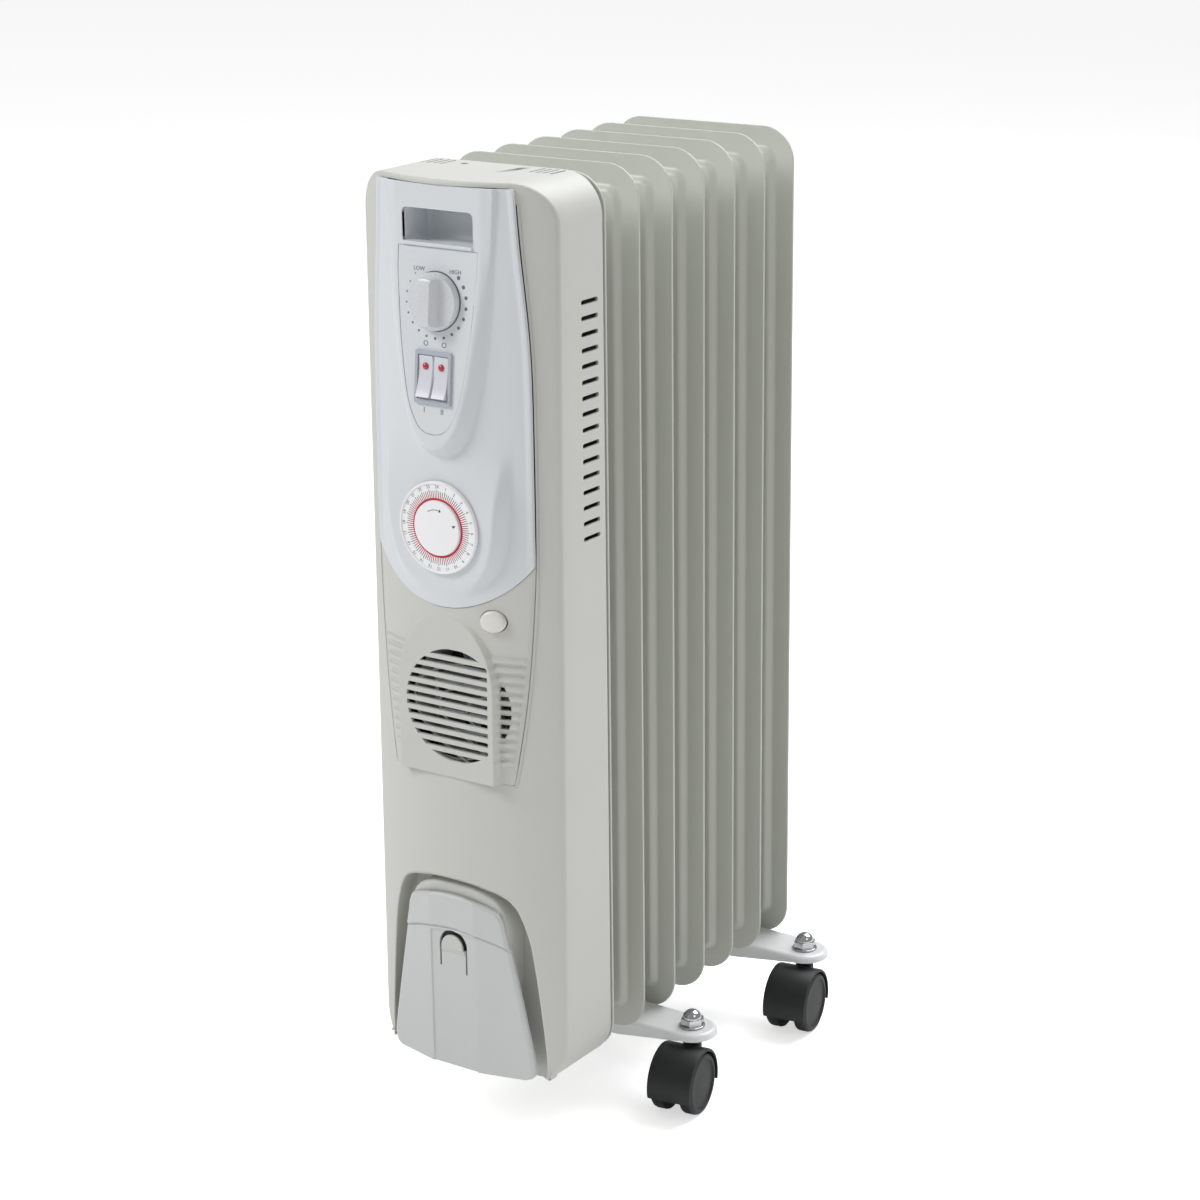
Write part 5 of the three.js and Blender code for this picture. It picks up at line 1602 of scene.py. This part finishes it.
class HEATER_OT_casters(bpy.types.Operator):
    """Builds the four hooded twin wheel casters."""

    bl_idname = "heater.casters"
    bl_label = "Casters"

    def execute(self, context):
        for place, gap in FOOT_ROWS:
            for side in (-1, 1):
                hand = "left" if side < 0 else "right"
                self.caster(f"{place}_{hand}", side, (gap + 0.5) * FIN_PITCH)
        return {"FINISHED"}

    def caster(self, place, side, y):
        turn = Matrix.Rotation(math.radians(side * TOE), 4, "Z")
        move = Matrix.Translation((side * PIVOT, y, 0)) @ turn
        bm = bmesh.new()
        self.hood(bm)
        bm.transform(move)
        body, node = f"hood_{place}", f"caster_hood_{place}"
        obj = piece(bm, body, MATERIALS["nylon"], body, [node])
        finish_edges(obj, 35)
        bm = bmesh.new()
        for way in (-1, 1):
            self.wheel(bm, way)
        turn_outward(bm)
        bm.transform(move)
        body, node = f"wheels_{place}", f"caster_wheels_{place}"
        obj = piece(bm, body, MATERIALS["nylon"], body, [node])
        finish_edges(obj, 35)

    def hood(self, bm):
        """A round guard over both wheels with a boss for the stem and a web down to the axle."""
        outer, inner, half = WHEEL_R + 3, WHEEL_R + 1, 15.8
        section = [(-half, inner + 0.3), (-half, outer - 1.2)]
        section += [(-half + 0.5, outer - 0.3), (-half + 1.4, outer)]
        section += [(half - 1.4, outer), (half - 0.5, outer - 0.3)]
        section += [(half, outer - 1.2), (half, inner + 0.3)]
        section += [(half - 0.4, inner), (-half + 0.4, inner)]
        centre = Vector((0, -TRAIL, AXLE))
        start = math.radians(-14)
        lift = Matrix.Rotation(start, 3, "X")
        verts = [bm.verts.new(centre + lift @ Vector((x, r, 0))) for x, r in section]
        edges = [bm.edges.new(pair) for pair in zip(verts, verts[1:] + verts[:1])]
        bmesh.ops.spin(
            bm, geom=edges, cent=centre, axis=(1, 0, 0), angle=math.radians(208), steps=44, use_merge=False
        )
        bmesh.ops.holes_fill(bm, edges=bm.edges, sides=len(section))
        web_half = 2.9
        reach = inner + 0.6
        web = [(0, 0)] + [(reach * math.cos(a), reach * math.sin(a)) for a in np.linspace(-0.1, 3.3, 30)]
        lower = [bm.verts.new(centre + Vector((-web_half, y, z))) for y, z in web]
        face = bm.faces.new(lower)
        made = bmesh.ops.extrude_face_region(bm, geom=[face])["geom"]
        bmesh.ops.translate(bm, verts=only_verts(made), vec=(2 * web_half, 0, 0))
        top = AXLE + outer
        tip = FOOT_TOP - 3.4
        boss = [(0, top - 6), (6.4, top - 6), (6.2, top + 0.5), (5.6, top + 1.2), (5.3, tip), (0, tip)]
        lathe(bm, boss, 32, (0, 0, 1))
        axle = [(0, -5), (4.2, -5), (4.2, 5), (0, 5)]
        lathe(bm, axle, 24, (1, 0, 0), centre)
        turn_outward(bm)

    def wheel(self, bm, way):
        """A wheel with a rounded tread, a raised rim and a dished outer face."""
        inner, outer = 5.9, 15.4
        profile = [(0, inner), (19.6, inner), (20.6, inner + 0.5), (WHEEL_R, inner + 1.6)]
        profile += [(WHEEL_R, outer - 2.6), (20.6, outer - 1.2), (19.8, outer - 0.4), (18.8, outer)]
        profile += [(17.4, outer), (16.8, outer - 0.5), (16.4, outer - 1.0), (15.6, outer - 1.1)]
        profile += [(9, outer - 0.7), (0, outer - 0.4)]
        lathe(bm, profile, 56, (way, 0, 0), (0, -TRAIL, AXLE))


# ---- Pieces that keep their frame shape --------------------------------------------------------
KEPT = {
    "zinc": (
        "heating_element",
        "back_plate",
        "fan_heater",
        "fan_motor",
        "thermal_cutout",
        "u_bolt",
        "wing_nut",
    ),
    "dark": ("thermostat", "timer_body", "turbo_switch"),
    "inner": ("fan_duct", "fan_impeller"),
    "dial": ("terminal_block",),
    "nylon": ("caster_stem",),
}


class HEATER_OT_inside(bpy.types.Operator):
    """Gives the hidden pieces their finishes."""

    bl_idname = "heater.inside"
    bl_label = "Inside and fastenings"

    def execute(self, context):
        for finish, stems in KEPT.items():
            for name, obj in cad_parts.items():
                if name.startswith(stems) and name != "thermostat_knob":
                    obj.data.materials.clear()
                    obj.data.materials.append(MATERIALS[finish])
        return {"FINISHED"}


# ---- Stage -------------------------------------------------------------------------------------
CAMERA_PLACE = Vector((1037.14, -1438.81, 846.87))
CAMERA_YAW = math.radians(34.062)
CAMERA_PITCH = math.radians(17.143)
CAMERA_ROLL = math.radians(-0.6435)
CAMERA_LENS = 86.78


class HEATER_OT_stage(bpy.types.Operator):
    """Sets the pale floor, the soft studio lights and the camera."""

    bl_idname = "heater.stage"
    bl_label = "Stage"

    def execute(self, context):
        self.floor(context.scene.heater_colours)
        self.world()
        self.light("key", (-2.2, -2.1, 2.6), (1.2, 1.2), 44, (1.0, 1.0, 0.995))
        self.light("near", (-0.6, -0.9, 1.4), (0.4, 0.4), 3.2, (1.0, 1.0, 1.0))
        self.light("side", (2.0, -0.7, 1.9), (1.0, 1.0), 5, (1.0, 0.95, 0.9))
        self.light("above", (0.5, 1.6, 2.5), (2.0, 2.0), 76, (0.97, 0.99, 1.0))
        self.camera(context.scene)
        return {"FINISHED"}

    def floor(self, colours):
        bm = bmesh.new()
        bmesh.ops.create_grid(bm, x_segments=4, y_segments=4, size=14)
        mesh = bpy.data.meshes.new("studio_floor")
        bm.to_mesh(mesh)
        bm.free()
        obj = bpy.data.objects.new("studio_floor", mesh)
        bpy.context.scene.collection.objects.link(obj)
        # Back lit white paper: hardly an edge to the floor and only a faint shadow.
        paper = moulded("back_lit_paper", colours.floor, 0.9, 4.0, 0.02, 0.0)
        shader = next(node for node in paper.node_tree.nodes if node.type == "BSDF_PRINCIPLED")
        shader.inputs["Emission Color"].default_value = (1, 1, 1, 1)
        seen = add_node(paper.node_tree, "ShaderNodeLightPath").outputs["Is Camera Ray"]
        glow = add_node(
            paper.node_tree, "ShaderNodeMapRange", {"Value": seen, "To Min": 0.05, "To Max": 0.6}
        )
        paper.node_tree.links.new(glow.outputs[0], shader.inputs["Emission Strength"])
        mesh.materials.append(paper)

    def world(self):
        world = bpy.data.worlds.new("studio")
        bpy.context.scene.world = world
        world.use_nodes = True
        world.node_tree.nodes.clear()
        seen = add_node(world.node_tree, "ShaderNodeLightPath").outputs["Is Camera Ray"]
        power = add_node(
            world.node_tree, "ShaderNodeMapRange", {"Value": seen, "To Min": 0.36, "To Max": 1.3}
        )
        sky = add_node(
            world.node_tree, "ShaderNodeBackground", {"Color": (1, 1, 1, 1), "Strength": power.outputs[0]}
        )
        add_node(world.node_tree, "ShaderNodeOutputWorld", {"Surface": sky.outputs[0]})

    def light(self, name, place, size, power, colour):
        lamp = bpy.data.lights.new(name, "AREA")
        lamp.shape = "RECTANGLE"
        lamp.size, lamp.size_y = size
        lamp.energy = power
        lamp.color = colour
        obj = bpy.data.objects.new(name, lamp)
        bpy.context.scene.collection.objects.link(obj)
        obj.location = place
        aim = Vector((0, 0, 0.3)) - Vector(place)
        obj.rotation_euler = aim.to_track_quat("-Z", "Y").to_euler()

    def camera(self, scene):
        a, e, roll = CAMERA_YAW, CAMERA_PITCH, CAMERA_ROLL
        back = Vector((math.sin(a) * math.cos(e), -math.cos(a) * math.cos(e), math.sin(e)))
        right = Vector((math.cos(a), math.sin(a), 0))
        up = back.cross(right)
        turned = right * math.cos(roll) + up * math.sin(roll)
        upright = up * math.cos(roll) - right * math.sin(roll)
        data = bpy.data.cameras.new("camera")
        data.lens = CAMERA_LENS
        data.sensor_width = 36
        data.clip_end = 100
        obj = bpy.data.objects.new("camera", data)
        scene.collection.objects.link(obj)
        obj.matrix_world = Matrix.Translation((CAMERA_PLACE + FIRST_FIN) * MM) @ Matrix(
            ((turned.x, upright.x, back.x), (turned.y, upright.y, back.y), (turned.z, upright.z, back.z))
        ).to_4x4()
        scene.camera = obj
        scene.view_settings.view_transform = "Standard"


# ---- Panel and registration --------------------------------------------------------------------
STEPS = (
    HEATER_OT_stage,
    HEATER_OT_fins,
    HEATER_OT_casing,
    HEATER_OT_shield,
    HEATER_OT_controls,
    HEATER_OT_timer,
    HEATER_OT_fan,
    HEATER_OT_cord_store,
    HEATER_OT_feet,
    HEATER_OT_casters,
    HEATER_OT_inside,
)


class HEATER_PT_panel(bpy.types.Panel):
    """Lists the steps that build the heater, with its sizes and colours."""

    bl_idname = "HEATER_PT_panel"
    bl_label = "Heater"
    bl_space_type = "VIEW_3D"
    bl_region_type = "UI"
    bl_category = "Heater"

    def draw(self, context):
        for step in STEPS:
            self.layout.operator(step.bl_idname)
        for group in (context.scene.heater_sizes, context.scene.heater_colours):
            for name in group.bl_rna.properties.keys():
                if name not in ("rna_type", "name"):
                    self.layout.prop(group, name)


CLASSES = (HeaterSizes, HeaterColours, *STEPS, HEATER_PT_panel)


def register():
    for cls in CLASSES:
        bpy.utils.register_class(cls)
    bpy.types.Scene.heater_sizes = bpy.props.PointerProperty(type=HeaterSizes)
    bpy.types.Scene.heater_colours = bpy.props.PointerProperty(type=HeaterColours)


def unregister():
    del bpy.types.Scene.heater_sizes
    del bpy.types.Scene.heater_colours
    for cls in reversed(CLASSES):
        bpy.utils.unregister_class(cls)


def main():
    """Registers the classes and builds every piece."""
    register()
    MATERIALS.update(make_materials())
    for step in STEPS:
        area, name = step.bl_idname.split(".")
        getattr(getattr(bpy.ops, area), name)()


if __name__ == "__main__":
    main()
